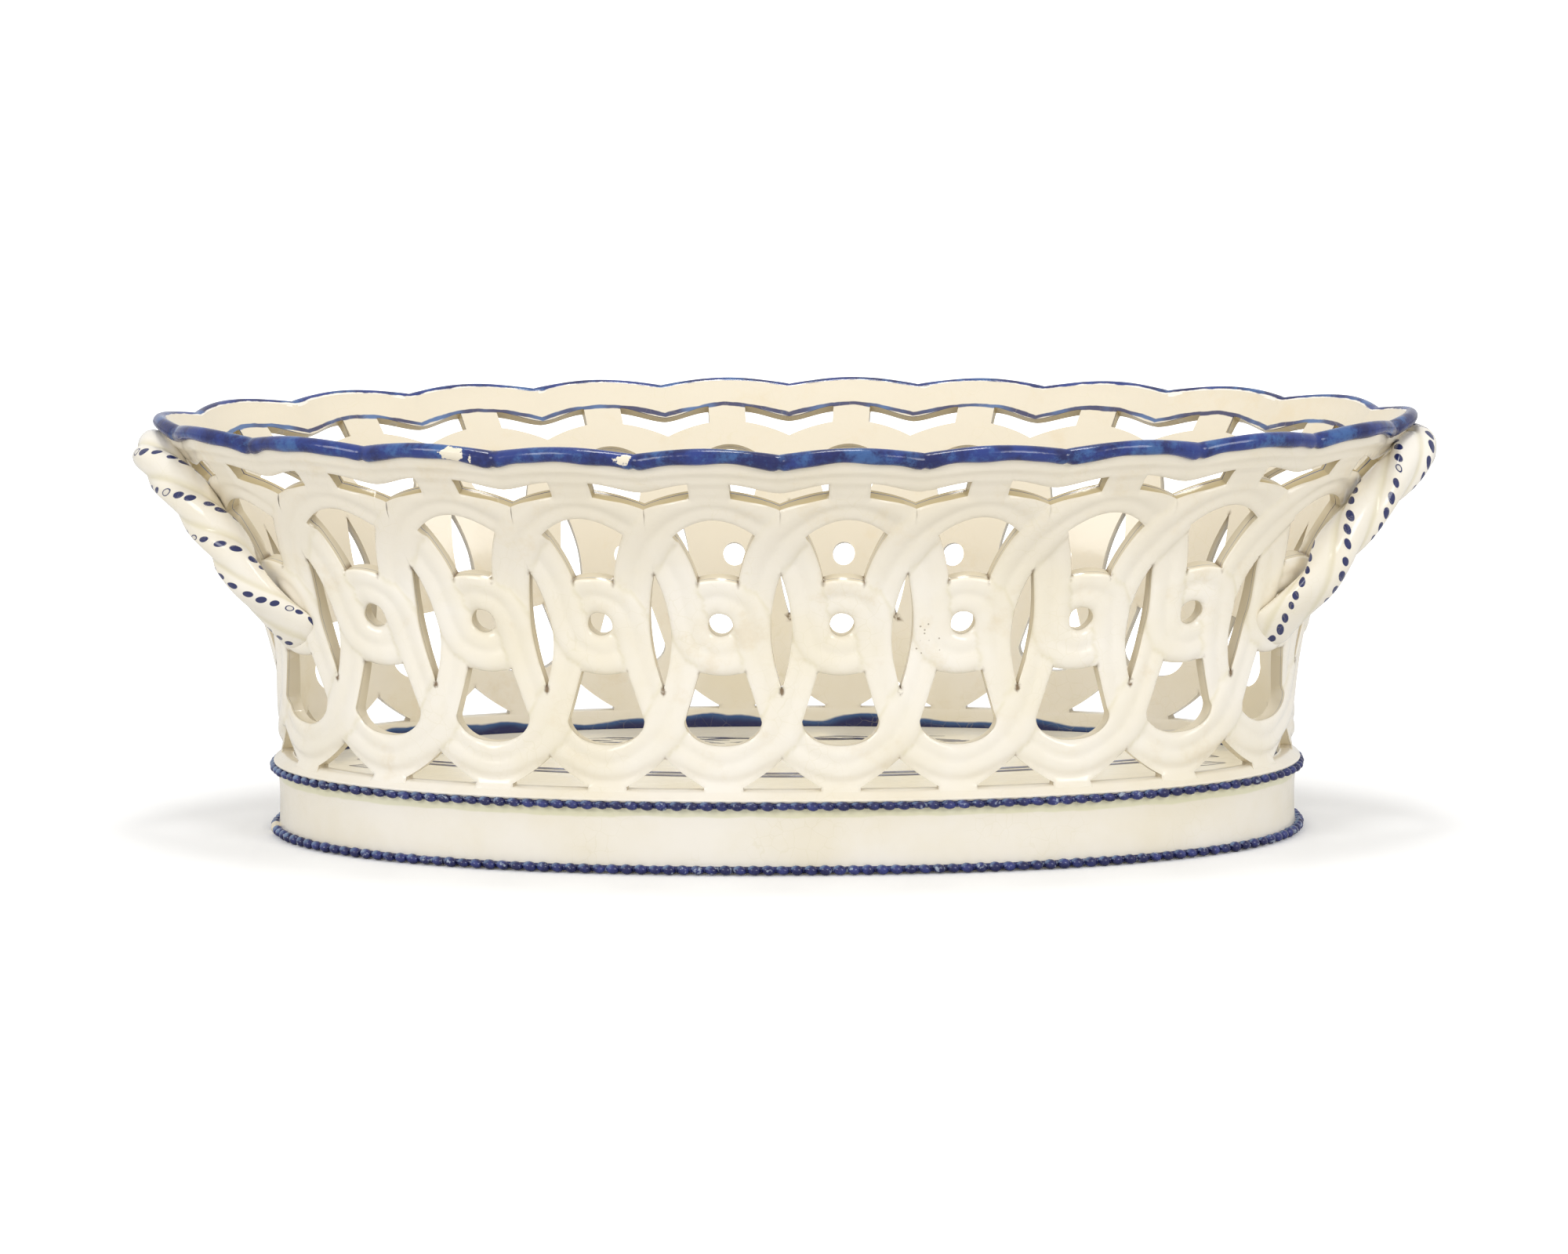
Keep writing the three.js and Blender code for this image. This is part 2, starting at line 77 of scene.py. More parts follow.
HORSESHOE = {"bottom": 26.4, "widest": 31.6, "half": 7.9, "top": 41.8, "top_half": 4.7, "hook": 0.7}
POST_HALF_WIDTH = 4.15
CHEVRON = {"cusp_low": 77.0, "side_low": 79.8, "cusp_high": 81.0, "side_high": 83.2, "bow": 0.35}
ROPE_RADIUS = 4.95
HANDLE_TIP_HEIGHT = 45.4
HANDLE_TOP_HEIGHT = 85.3
SEAT_GAP = 0.3

# Fineness of the meshes
QUARTER_STEPS = 256
WALL_LEVELS = (8.0, 92.0, 337)
RING_STEPS = 352
OPENING_STEP = 0.7
FACE_STEP = 0.69
INSIDE_STEP = 2.6
INSIDE_COLLAR_STEP = 1.1
CELL_HALF_WIDTH = 18
BEVEL = 0.32
BEVEL_DROP = 0.2
CUT_ANGLE = 50
FOOT_ANGLE = 38
FLOOR_ANGLE = 40
WELD_DISTANCE = 0.02
# A distance at which no painted line or dot is near
OFF_LINE = 9.0

SEED = 7


# Ovals and the wall's middle surface

def quarter_of_oval(half_length, half_width, power):
    """A quarter of an oval from the front to the +X end, at even steps of its length, and its girth."""
    angle = np.linspace(0, math.pi / 2, 2 * QUARTER_STEPS + 1)
    x = half_length * np.sin(angle) ** (2 / power)
    y = half_width * np.abs(np.cos(angle)) ** (2 / power)
    length = np.concatenate([[0], np.cumsum(np.hypot(np.diff(x), np.diff(y)))])
    even = np.linspace(0, length[-1], QUARTER_STEPS + 1)
    return np.interp(even, length, x), np.interp(even, length, y), 4 * length[-1]


class OvalStack:
    """Ovals one above the other, whose sizes are a function of the height."""

    def __init__(self, sizes, low, high, count):
        self.sizes, self.low, self.step = sizes, low, (high - low) / (count - 1)
        self.heights = np.linspace(low, high, count)
        quarters = [quarter_of_oval(*sizes(height)) for height in self.heights]
        self.x, self.y, self.girths = (np.array(part) for part in zip(*quarters))

    def girth(self, height):
        return np.interp(height, self.heights, self.girths)

    def at(self, share, height):
        """Place and outward direction in the plan, at a share of the girth from the front."""
        share, height = np.broadcast_arrays(np.asarray(share, float), np.asarray(height, float))
        row = np.clip((height - self.low) / self.step, 0, len(self.heights) - 1.001)
        turn = (share % 1) * 4
        quarter = np.minimum(np.floor(turn), 3)
        along = turn - quarter
        column = np.where(quarter % 2 == 0, along, 1 - along) * QUARTER_STEPS
        r, c = row.astype(int), np.minimum(column.astype(int), QUARTER_STEPS - 1)
        fr, fc = row - r, column - c

        def mixed(table):
            low = table[r, c] * (1 - fc) + table[r, c + 1] * fc
            high = table[r + 1, c] * (1 - fc) + table[r + 1, c + 1] * fc
            return low * (1 - fr) + high * fr

        x, y = mixed(self.x), mixed(self.y)
        half_length, half_width, power = self.sizes(height)
        nx = (x / half_length) ** (power - 1) / half_length
        ny = (y / half_width) ** (power - 1) / half_width
        size = np.hypot(nx, ny)
        side_x = np.where(quarter < 2, 1, -1)
        side_y = np.where((quarter == 0) | (quarter == 3), -1, 1)
        place = np.stack([side_x * x, side_y * y], -1)
        return place, np.stack([side_x * nx / size, side_y * ny / size], -1)


def wall_sizes(height):
    end = np.clip((height - END_FLARE_START) / (RIM_CUSP_HEIGHT - END_FLARE_START), 0, None)
    side = np.clip((height - SIDE_FLARE_START) / (RIM_CUSP_HEIGHT - SIDE_FLARE_START), 0, None)
    end, side = end**END_FLARE_POWER, side**SIDE_FLARE_POWER
    shares = (end, side, end)
    return tuple(low + (high - low) * share for low, high, share in zip(WALL_OVAL, RIM_OVAL, shares))


wall_ovals = OvalStack(wall_sizes, *WALL_LEVELS)
foot_ovals = OvalStack(lambda height: FOOT_OVAL, 0.0, 1.0, 2)


def scallop(share):
    return np.abs(np.sin(math.pi * MOTIFS * share))


def wall_middle(share, height):
    share, height = np.broadcast_arrays(np.asarray(share, float), np.asarray(height, float))
    place, normal = wall_ovals.at(share, height)
    ramp = np.clip((height - RIM_CUSP_HEIGHT + SCALLOP_RAMP) / SCALLOP_RAMP, 0, 1) ** 2
    reach = ramp * RIM_CROWN_REACH * scallop(share) * np.abs(np.sin(2 * math.pi * share))
    return np.concatenate([place + normal * reach[..., None], height[..., None]], -1), normal


def wall_point(share, height, offset):
    """Place at an offset square to the wall's middle surface, outwards positive, and that direction."""
    step = WALL_THICKNESS / 8
    middle, normal = wall_middle(share, height)
    above, below = wall_middle(share, height + step)[0], wall_middle(share, height - step)[0]
    slope = ((above - below)[..., :2] * normal).sum(-1) / (2 * step)
    square = np.concatenate([normal, -slope[..., None]], -1)
    square /= np.linalg.norm(square, axis=-1, keepdims=True)
    return middle + square * np.asarray(offset)[..., None], square


def pitch_at(height):
    return wall_ovals.girth(height) / MOTIFS


def smooth(low, high, value):
    t = np.clip((value - low) / (high - low), 0, 1)
    return t * t * (3 - 2 * t)


def hump(gap, width):
    """1 where the gap is nothing, and falling off softly over the width."""
    return np.exp(-((gap / width) ** 2))


# Meshes and pieces

def mesh_object(name, points, faces, material, numbers=None, smooth_angle=None, face_numbers=None):
    """A piece from points in millimetres. The named values are one for each point, or each face."""
    mesh = bpy.data.meshes.new(name)
    mesh.from_pydata((np.asarray(points) * MM).tolist(), [], faces)
    for domain, named in (("POINT", numbers), ("FACE", face_numbers)):
        for key, values in (named or {}).items():
            attribute = mesh.attributes.new(key, "FLOAT", domain)
            attribute.data.foreach_set("value", np.asarray(values, np.float32))
    mesh.materials.append(material)
    mesh.polygons.foreach_set("use_smooth", [True] * len(mesh.polygons))
    if smooth_angle is not None:
        mesh.set_sharp_from_angle(angle=math.radians(smooth_angle))
    mesh.update()
    return placed(bpy.data.objects.new(name, mesh))


def placed(piece):
    bpy.context.scene.collection.objects.link(piece)
    return piece


def put(piece, slot, *nodes):
    """The piece rides on the basket and stands for these nodes. Its slot is not used."""
    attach(piece, BODY)
    if nodes:
        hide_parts(*nodes)


def grid_faces(rows, columns, closed):
    """Quads of a grid of points whose columns close on themselves, and whose rows may do so too."""
    faces = []
    for i in range(rows if closed else rows - 1):
        for j in range(columns):
            k, m = (i + 1) % rows, (j + 1) % columns
            faces.append((i * columns + j, k * columns + j, k * columns + m, i * columns + m))
    return faces


def swept_ring(name, steps, section, material, numbers=None, smooth_angle=None):
    """A closed ring. section(shares) gives places [step, profile point, xyz], and the named values
    are one for each point of the profile."""
    places = section(np.arange(steps) / steps)
    values = {key: np.tile(v, steps) for key, v in (numbers or {}).items()}
    faces = grid_faces(steps, places.shape[1], True)
    return mesh_object(name, places.reshape(-1, 3), faces, material, values, smooth_angle)


def capped_tube(rings, first_tip, last_tip):
    """Points and faces of open rings, one after the other, that close on a tip at each end."""
    rows, columns = rings.shape[:2]
    faces = [face[::-1] for face in grid_faces(rows, columns, False)]
    tip, last = rows * columns, (rows - 1) * columns
    for j in range(columns):
        k = (j + 1) % columns
        faces += [(k, j, tip), (last + j, last + k, tip + 1)]
    return np.vstack([rings.reshape(-1, 3), [first_tip], [last_tip]]), faces


def at_height(plan, height):
    return np.concatenate([plan, np.full((len(plan), 1), height)], 1)


# Outlines of one motif of the pierced wall, as x beside its middle and height

def line_points(start, end, bow=0.0):
    """Points from start up to, but without, end. bow pushes the middle to the left of the way."""
    start, end = np.array(start, float), np.array(end, float)
    way = end - start
    size = np.hypot(*way)
    count = max(1, int(round(size / OPENING_STEP)))
    t = np.arange(count)[:, None] / count
    left = np.array([-way[1], way[0]]) / size
    return start + way * t + left * bow * 4 * t * (1 - t)


def soft_step(start, end):
    """Points from start up to, but without, end, which leave and arrive nearly level."""
    line = line_points(start, end)
    t = np.arange(len(line)) / len(line)
    line[:, 1] = start[1] + (end[1] - start[1]) * (0.25 * t + 0.75 * t * t * (3 - 2 * t))
    return line


def lens_points():
    """Half of the lens between this motif and the next."""
    count = int((LENS["top"] - LENS["bottom"]) / OPENING_STEP)
    t = np.arange(count) / count
    height = LENS["bottom"] + (LENS["top"] - LENS["bottom"]) * t
    inset = LENS["half_width"] * np.sin(math.pi * t) ** LENS["power"]
    return np.stack([pitch_at(height) / 2 - inset, height], -1)


def seam_points(low, high):
    height = line_points((0, low), (0, high))[:, 1]
    return np.stack([pitch_at(height) / 2, height], -1)


def rim_height(pitch_share):
    return RIM_CUSP_HEIGHT + (RIM_CROWN_HEIGHT - RIM_CUSP_HEIGHT) * np.cos(math.pi * pitch_share)


def on_seam(height):
    return pitch_at(height) / 2, height


def cell_outline():
    """Outline of one motif, anticlockwise seen from outside, and whether each edge is open."""
    waist = (TAB["half_width"], LEDGE_HEIGHT + TAB["waist"])
    post_low, post_high = (POST_HALF_WIDTH, CHEVRON["side_low"]), (POST_HALF_WIDTH, CHEVRON["side_high"])
    rim_share = np.linspace(0.5, 0, 20)[:-1]
    rim = np.stack([rim_share * pitch_at(RIM_CUSP_HEIGHT), rim_height(rim_share)], -1)
    runs = [
        (line_points((TAB["half_width"] + TAB["spread"], TAB["foot"]), waist, TAB["foot_bow"]), True),
        (line_points(waist, on_seam(TRIANGLE_APEX), TAB["bow"]), True),
        (seam_points(TRIANGLE_APEX, LENS["bottom"]), False),
        (lens_points(), True),
        (seam_points(LENS["top"], CHEVRON["cusp_low"]), False),
        (line_points(on_seam(CHEVRON["cusp_low"]), post_low, -CHEVRON["bow"]), True),
        (line_points(post_low, post_high), True),
        (soft_step(post_high, on_seam(CHEVRON["cusp_high"])), True),
        (seam_points(CHEVRON["cusp_high"], rim_height(0.5)), False),
        (rim, True),
    ]
    points = np.vstack([run for run, _ in runs])
    is_open = np.concatenate([[flag] * len(run) for run, flag in runs])
    left = points[::-1] * [-1, 1]
    left_open = np.concatenate([is_open[::-1][1:], [True]])
    return np.vstack([points, [[0, rim_height(0.0)]], left]), np.concatenate([is_open, [True], left_open])


def arc_run(half_width, height, rise, steps):
    x = np.linspace(-1, 1, steps + 1)
    return np.stack([half_width * x, height + rise * (1 - x * x)], -1)


def fan_opening():
    top = arc_run(FAN["half"], FAN["corner"], FAN["top"] - FAN["corner"], 26)[::-1]
    bottom = arc_run(FAN["bottom_half"], FAN["bottom"], FAN["hook"], 12)
    right = line_points(bottom[-1], top[0], FAN["bow"])[1:]
    left = line_points(top[-1], bottom[0], FAN["bow"])[1:]
    return np.vstack([bottom, right, top, left])


def boss_hole():
    angle = np.linspace(0, 2 * math.pi, 25)[:-1]
    return np.stack([np.cos(angle), np.sin(angle)], -1) * BOSS_HOLE_RADIUS + [0, BOSS_HEIGHT]


def horseshoe_opening():
    top = arc_run(HORSESHOE["top_half"], HORSESHOE["top"], -HORSESHOE["hook"], 13)[::-1]
    angle = math.pi * (1 + np.linspace(0, 1, 33))
    depth = HORSESHOE["widest"] - HORSESHOE["bottom"]
    loop = np.stack([HORSESHOE["half"] * np.cos(angle), HORSESHOE["widest"] + depth * np.sin(angle)], -1)
    left = line_points(top[-1], loop[0])[1:]
    right = line_points(loop[-1], top[0])[1:]
    return np.vstack([top, left, loop, right])


def signed_area(points):
    x, y = points[:, 0], points[:, 1]
    return 0.5 * (x * np.roll(y, -1) - np.roll(x, -1) * y).sum()


def spline(points, per_span=24):
    """A smooth line through control points, given with any number of values for each."""
    p = np.asarray(points, float)
    p = np.vstack([2 * p[0] - p[1], p, 2 * p[-1] - p[-2]])
    t = np.linspace(0, 1, per_span, endpoint=False)[:, None]
    spans = []
    for a, b, c, d in zip(p, p[1:], p[2:], p[3:]):
        spans.append(0.5 * (2 * b + (c - a) * t + (2 * a - 5 * b + 4 * c - d) * t**2
                            + (3 * b - a - 3 * c + d) * t**3))
    return np.vstack([*spans, p[-2:-1]])


# Relief of the straps

# Middle lines of the straps, by station: cells across, x beside that cell's middle, height, how far
# the strap lies over (1) or under (-1) its neighbour, and half its width
ARCH_STATIONS = [
    (-1, 7.4, 52.5, -1.0, 4.1), (-1, 8.3, 61.3, 0.1, 4.2), (-0.5, 0, 70.2, 1.0, 4.6),
    (0, -6.6, 76.0, 0.3, 3.8), (0, 0, 77.9, 0.0, 3.6), (0, 6.6, 76.0, -0.3, 3.8),
    (0.5, 0, 70.2, -1.0, 4.6), (1, -8.3, 61.3, 0.1, 4.2), (1, -6.5, 51.9, 1.0, 4.05),
    (1, -4.6, 47.3, 1.0, 4.05), (1, 0, 45.4, 0.7, 4.05), (1, 4.6, 46.9, -1.0, 4.0),
]
LOOP_STATIONS = [
    (-1, -4.6, 56.9, -1.0, 4.0), (-1, 0, 58.4, 0.7, 4.05), (-1, 4.6, 56.5, 1.0, 4.05),
    (-1, 6.5, 51.9, 1.0, 4.05), (-1, 8.1, 41.8, 0.1, 4.1), (-0.5, 0, 30.6, -1.0, 4.6),
    (0, -6.2, 25.0, -0.3, 3.8), (0, 0, 22.8, 0.0, 3.6), (0, 6.2, 25.0, 0.3, 3.8),
    (0.5, 0, 30.6, 1.0, 4.6), (1, -8.1, 41.8, 0.1, 4.1), (1, -7.4, 50.5, -1.0, 4.1),
]
STRAP_LEVEL = 0.4
STRAP_REED = 0.36
STRAP_EDGE = 0.45
STRAP_NEAR = 20
STRAP_END_SHARE = 1.3
BURIED = -9
GROUND_LEVEL = -0.5
CREASE_WIDTH = 0.17
CREASE_REACH = 0.3
# Collar over the chevrons: its flutes, the crease up from each cusp, and the step under the roll
FLUTE = {"depth": 0.12, "pitch": 2.5, "first": 2.6, "lift": 0.1}
CUSP_CREASE_WIDTH = 1.8
CUSP_CREASE_POOL = 0.4
ROLL_STEP = (1.3, 2.3)
ROLL_STEP_LEVEL = -0.5
POST = {"level": 0.12, "edge": 0.9, "drop": 0.25, "below": 1.2, "above": 0.2}
TAB_LEVEL = -0.15
TAB_RAMP = 2.6
# Swelling of a tab into the cove of the ledge, where the foot stands out past the wall
TAB_SWELL = {"size": 0.6, "from": -0.2, "fall": 0.58, "most": 1.3}


def strap_heights(points):
    """For each strap near a motif, its height at these points of the pattern."""
    heights = []
    for stations in (ARCH_STATIONS, LOOP_STATIONS):
        s = np.array(stations)
        for shift in (-2, -1, 0, 1, 2):
            x = (s[:, 0] + shift) * pitch_at(s[:, 2]) + s[:, 1]
            line = spline(np.stack([x, s[:, 2], s[:, 3], s[:, 4]], -1))
            if line[:, 0].min() > STRAP_NEAR or line[:, 0].max() < -STRAP_NEAR:
                continue
            start, way = line[:-1], np.diff(line, axis=0)
            rel = points[:, None, :] - start[None, :, :2]
            size = (way[:, :2] ** 2).sum(1)
            t = np.clip((rel * way[None, :, :2]).sum(2) / size, 0, 1)
            gap = np.hypot(*np.moveaxis(rel - t[..., None] * way[None, :, :2], 2, 0))
            best = gap.argmin(1)
            rows = np.arange(len(points))
            near = start[best] + way[best] * t[rows, best][:, None]
            across = gap[rows, best] / near[:, 3]
            reed = STRAP_REED * np.sin(math.pi * np.clip(across, 0, 1)) - STRAP_EDGE * across**8
            heights.append(STRAP_LEVEL * near[:, 2] + np.where(across < STRAP_END_SHARE, reed, BURIED))
    return np.array(heights)


def relief(points):
    """Height of the moulded face over the wall's plain face, and how deep its creases pool the glaze."""
    x, z = points[:, 0], points[:, 1]
    straps = strap_heights(points)
    stack = np.sort(np.vstack([straps, np.full((1, len(points)), GROUND_LEVEL)]), axis=0)
    height = CREASE_WIDTH * np.log(np.exp(stack / CREASE_WIDTH).sum(0))
    pool = hump(stack[-1] - stack[-2], CREASE_REACH) * (stack[-2] > GROUND_LEVEL)
    to_rim = rim_height(np.clip(np.abs(x) / pitch_at(RIM_CUSP_HEIGHT), 0, 0.5)) - z
    flute = FLUTE["depth"] * np.cos(2 * math.pi * (to_rim - FLUTE["first"]) / FLUTE["pitch"]) + FLUTE["lift"]
    crease = hump(pitch_at(z) / 2 - np.abs(x), CUSP_CREASE_WIDTH)
    under_roll = smooth(*ROLL_STEP, to_rim)
    collar = (flute - FLUTE["depth"] * crease) * under_roll + ROLL_STEP_LEVEL * (1 - under_roll)
    post_edge = smooth(POST_HALF_WIDTH - POST["edge"], POST_HALF_WIDTH, np.abs(x))
    post = POST["level"] - POST["drop"] * post_edge
    on_post = smooth(CHEVRON["side_low"] - POST["below"], CHEVRON["side_low"] + POST["above"], z)
    on_collar = smooth(CHEVRON["cusp_high"] - 1.0, CHEVRON["side_high"] + 0.4, z)
    on_tab = 1 - smooth(LEDGE_HEIGHT, LEDGE_HEIGHT + TAB_RAMP, z)
    for level, here in ((post, on_post), (collar, on_collar), (TAB_LEVEL, on_tab)):
        height = height * (1 - here) + level * here
    pool = pool * (1 - on_post) + CUSP_CREASE_POOL * crease * on_collar
    return height, np.clip(pool * (1 - on_tab), 0, 1)


def tab_bulge(points):
    rise = points[:, 1] - LEDGE_HEIGHT - TAB_SWELL["from"]
    return np.minimum(TAB_SWELL["size"] * np.exp(-rise / TAB_SWELL["fall"]), TAB_SWELL["most"])


# Sharp corners of the openings, where the glaze gathers dirt: x (none for the seam between two
# motifs), height and strength. A stain is narrower across than along.
STAIN_TIPS = [
    (None, LENS["bottom"] - 0.3, 1.0), (None, LENS["top"], 0.6), (None, CHEVRON["cusp_low"], 0.2),
    (FAN["bottom_half"], FAN["bottom"], 0.6), (HORSESHOE["top_half"], HORSESHOE["top"], 0.5),
    (None, TRIANGLE_APEX, 0.5), (TAB["half_width"], LEDGE_HEIGHT + 0.3, 0.35),
]
STAIN_WIDTH = 0.8 / 1.4
STAIN_LENGTH = 0.8 / 0.75


def tip_stain(points):
    """Nearness to the sharp corners of the openings."""
    half = pitch_at(points[:, 1]) / 2
    stain = np.zeros(len(points))
    for x, z, strength in STAIN_TIPS:
        across = half - np.abs(points[:, 0]) if x is None else np.abs(points[:, 0]) - x
        here = strength * hump(across, STAIN_WIDTH) * hump(points[:, 1] - z, STAIN_LENGTH)
        stain = np.maximum(stain, here)
    return stain


# The painted line over the openings, on the inside: height over the chevrons, and its curve
LINE_RISE = 0.45
LINE_POWER = 1.6


def scallop_line(points):
    """How far a point of the inside lies above the painted line."""
    share = np.clip(np.abs(points[:, 0]) / pitch_at(points[:, 1]), 0, 0.5) * 2
    fall = (CHEVRON["side_high"] - CHEVRON["cusp_high"]) * share**LINE_POWER
    return points[:, 1] - (CHEVRON["side_high"] + LINE_RISE - fall)


# Mesh of the pierced wall

def inside_polygon(points, polygon):
    x, y = points[:, 0][:, None], points[:, 1][:, None]
    ax, ay = polygon[:, 0], polygon[:, 1]
    bx, by = np.roll(ax, -1), np.roll(ay, -1)
    crosses = (ay > y) != (by > y)
    at = ax + (y - ay) * (bx - ax) / np.where(by == ay, 1e-12, by - ay)
    return (crosses & (x < at)).sum(1) % 2 == 1


def gap_to_edges(points, starts, ends):
    way = ends - starts
    rel = points[:, None, :] - starts[None]
    t = np.clip((rel * way).sum(2) / (way**2).sum(1), 0, 1)
    return np.hypot(*np.moveaxis(rel - t[..., None] * way, 2, 0)).min(1)


def hex_points(step):
    rows = np.arange(LEDGE_HEIGHT - 1, RIM_CROWN_HEIGHT + 1, step * math.sqrt(3) / 2)
    across = np.arange(-CELL_HALF_WIDTH, CELL_HALF_WIDTH, step)
    return np.vstack([at_height((across + (i % 2) * step / 2)[:, None], z) for i, z in enumerate(rows)])


class Cell:
    """One motif of the pierced wall, flat: its edges, and the triangles of both of its faces."""

    def __init__(self):
        outline, is_open = cell_outline()
        holes = [fan_opening(), boss_hole(), horseshoe_opening()]
        holes = [hole[::-1] if signed_area(hole) > 0 else hole for hole in holes]
        self.rims = [outline, *holes]
        self.edge = np.vstack(self.rims)
        self.open = np.concatenate([is_open, *[np.ones(len(hole), bool) for hole in holes]])
        loops, first = [], 0
        for rim in self.rims:
            index = first + np.arange(len(rim))
            loops.append(np.stack([index, np.roll(index, -1)], -1))
            first += len(rim)
        self.loops = np.vstack(loops)
        self.starts, self.ends = self.edge[self.loops[:, 0]], self.edge[self.loops[:, 1]]
        collar = hex_points(INSIDE_COLLAR_STEP)
        collar = collar[(collar[:, 1] > CHEVRON["cusp_high"]) & (collar[:, 1] < RIM_CUSP_HEIGHT)]
        inside = hex_points(INSIDE_STEP)
        inside = inside[inside[:, 1] <= CHEVRON["cusp_high"]]
        self.outside = self.face(hex_points(FACE_STEP))
        self.inside = self.face(np.vstack([inside, collar]))

    def in_clay(self, points):
        inside = inside_polygon(points, self.rims[0])
        for hole in self.rims[1:]:
            inside &= ~inside_polygon(points, hole)
        return inside

    def clear_of_edges(self, points, gap):
        points = points[self.in_clay(points)]
        return points[gap_to_edges(points, self.starts, self.ends) > gap]

    def bevel_points(self):
        """Points just inside each open edge, where the rounding of the cut ends."""
        way = self.ends - self.starts
        way /= np.linalg.norm(way, axis=1, keepdims=True)
        left = np.stack([-way[:, 1], way[:, 0]], -1)
        return ((self.starts + self.ends) / 2 + left * BEVEL)[self.open]

    def face(self, inner):
        """Points and triangles of the face that has these points well inside its edges."""
        bevel = self.clear_of_edges(self.bevel_points(), BEVEL * 0.85)
        inner = self.clear_of_edges(inner, BEVEL + 0.35 * OPENING_STEP)
        points = np.vstack([self.edge, bevel, inner])
        vectors = [Vector(p) for p in points]
        links = [tuple(e) for e in self.loops.tolist()]
        _, _, faces, origins, _, _ = delaunay_2d_cdt(vectors, links, [], 0, 1e-6)
        index = np.array([o[0] if o else -1 for o in origins])
        triangles = index[np.array([f for f in faces if len(f) == 3])]
        triangles = triangles[(triangles >= 0).all(1)]
        a, b, c = (points[triangles[:, i]] for i in range(3))
        area = (b - a)[:, 0] * (c - a)[:, 1] - (b - a)[:, 1] * (c - a)[:, 0]
        triangles = np.where(area[:, None] < 0, triangles[:, ::-1], triangles)
        keep = (np.abs(area) > 1e-7) & self.in_clay((a + b + c) / 3)
        return points, triangles[keep]


def pierced_wall(material):
    cell = Cell()
    (front, front_faces), (back, back_faces) = cell.outside, cell.inside
    height, pool = relief(front)
    cut_edges = cell.loops[cell.open]
    height[np.unique(cut_edges)] -= BEVEL_DROP
    bulge = tab_bulge(front)
    second = len(front)
    start, end = cut_edges.T
    cuts = np.stack([start, second + start, second + end, end], -1)
    points, faces = [], []
    for k in range(MOTIFS):
        share, inner_share = ((k + 0.5 + p[:, 0] / pitch_at(p[:, 1])) / MOTIFS for p in (front, back))
        facing = np.abs(wall_ovals.at(share, front[:, 1])[1][:, 1])
        points.append(wall_point(share, front[:, 1], WALL_THICKNESS / 2 + height + bulge * facing)[0])
        points.append(wall_point(inner_share, back[:, 1], np.full(len(back), -WALL_THICKNESS / 2))[0])
        for part in (front_faces, back_faces[:, ::-1] + second, cuts):
            faces += (part + k * (second + len(back))).tolist()
    on_front, on_back = np.zeros(second), np.ones(len(back))
    numbers = {"pool": (pool, on_back * 0), "line_gap": (on_front + OFF_LINE, scallop_line(back)),
               "stain": (tip_stain(front), tip_stain(back)), "inner": (on_front, on_back)}
    numbers = {key: np.tile(np.concatenate(values), MOTIFS) for key, values in numbers.items()}
    is_cut = [0.0] * (len(front_faces) + len(back_faces)) + [1.0] * len(cuts)
    made = mesh_object("pierced_strap_wall", np.vstack(points), faces, material, numbers, None,
                       {"cut": is_cut * MOTIFS})
    join_seams(made.data)
    made.data.set_sharp_from_angle(angle=math.radians(CUT_ANGLE))
    return made


def join_seams(mesh):
    """Joins the points that the motifs share along their seams."""
    work = bmesh.new()
    work.from_mesh(mesh)
    bmesh.ops.remove_doubles(work, verts=work.verts, dist=WELD_DISTANCE * MM)
    work.to_mesh(mesh)
    work.free()


# Foot, floor, beads and rim

def oval_section(profile):
    """Section function for a ring: profile holds (ovals, oval's height, out, height) for each point."""
    def section(shares):
        rows = []
        for ovals, oval_height, out, height in profile:
            place, normal = ovals.at(shares, oval_height)
            rows.append(at_height(place + normal * out, height))
        return np.stack(rows, 1)
    return section


# Cove of the ledge: how far out from the foot's oval, and height over the lip
COVE = [
    (0.5, 0.0), (0.85, 0.1), (0.95, 0.35), (0.8, 0.55), (0.5, 0.7), (0.1, 0.95), (-0.35, 1.3),
    (-0.8, 1.65), (-1.15, 1.9),
]
# Foot's lower edge: how far out from the foot's oval, and height
FOOT_EDGE = [(-0.9, 0.0), (-0.5, 0.1), (-0.1, 0.4)]
# Top of the ledge, under the wall: how far out from the wall's faces, and height over the ledge
LEDGE_TOP = [(-0.9, -0.05), (0.4, 0.0), (0.0, -0.25), (-0.08, -0.7)]
LIP_SHARE = 0.8
WAIST = {"depth": 0.3, "bottom": 0.8, "steps": 12}
SEAT_RUN = {"out": -0.1, "heights": (15.5, 14.2, 13.4)}
FOOT_CHAMFER = 0.5


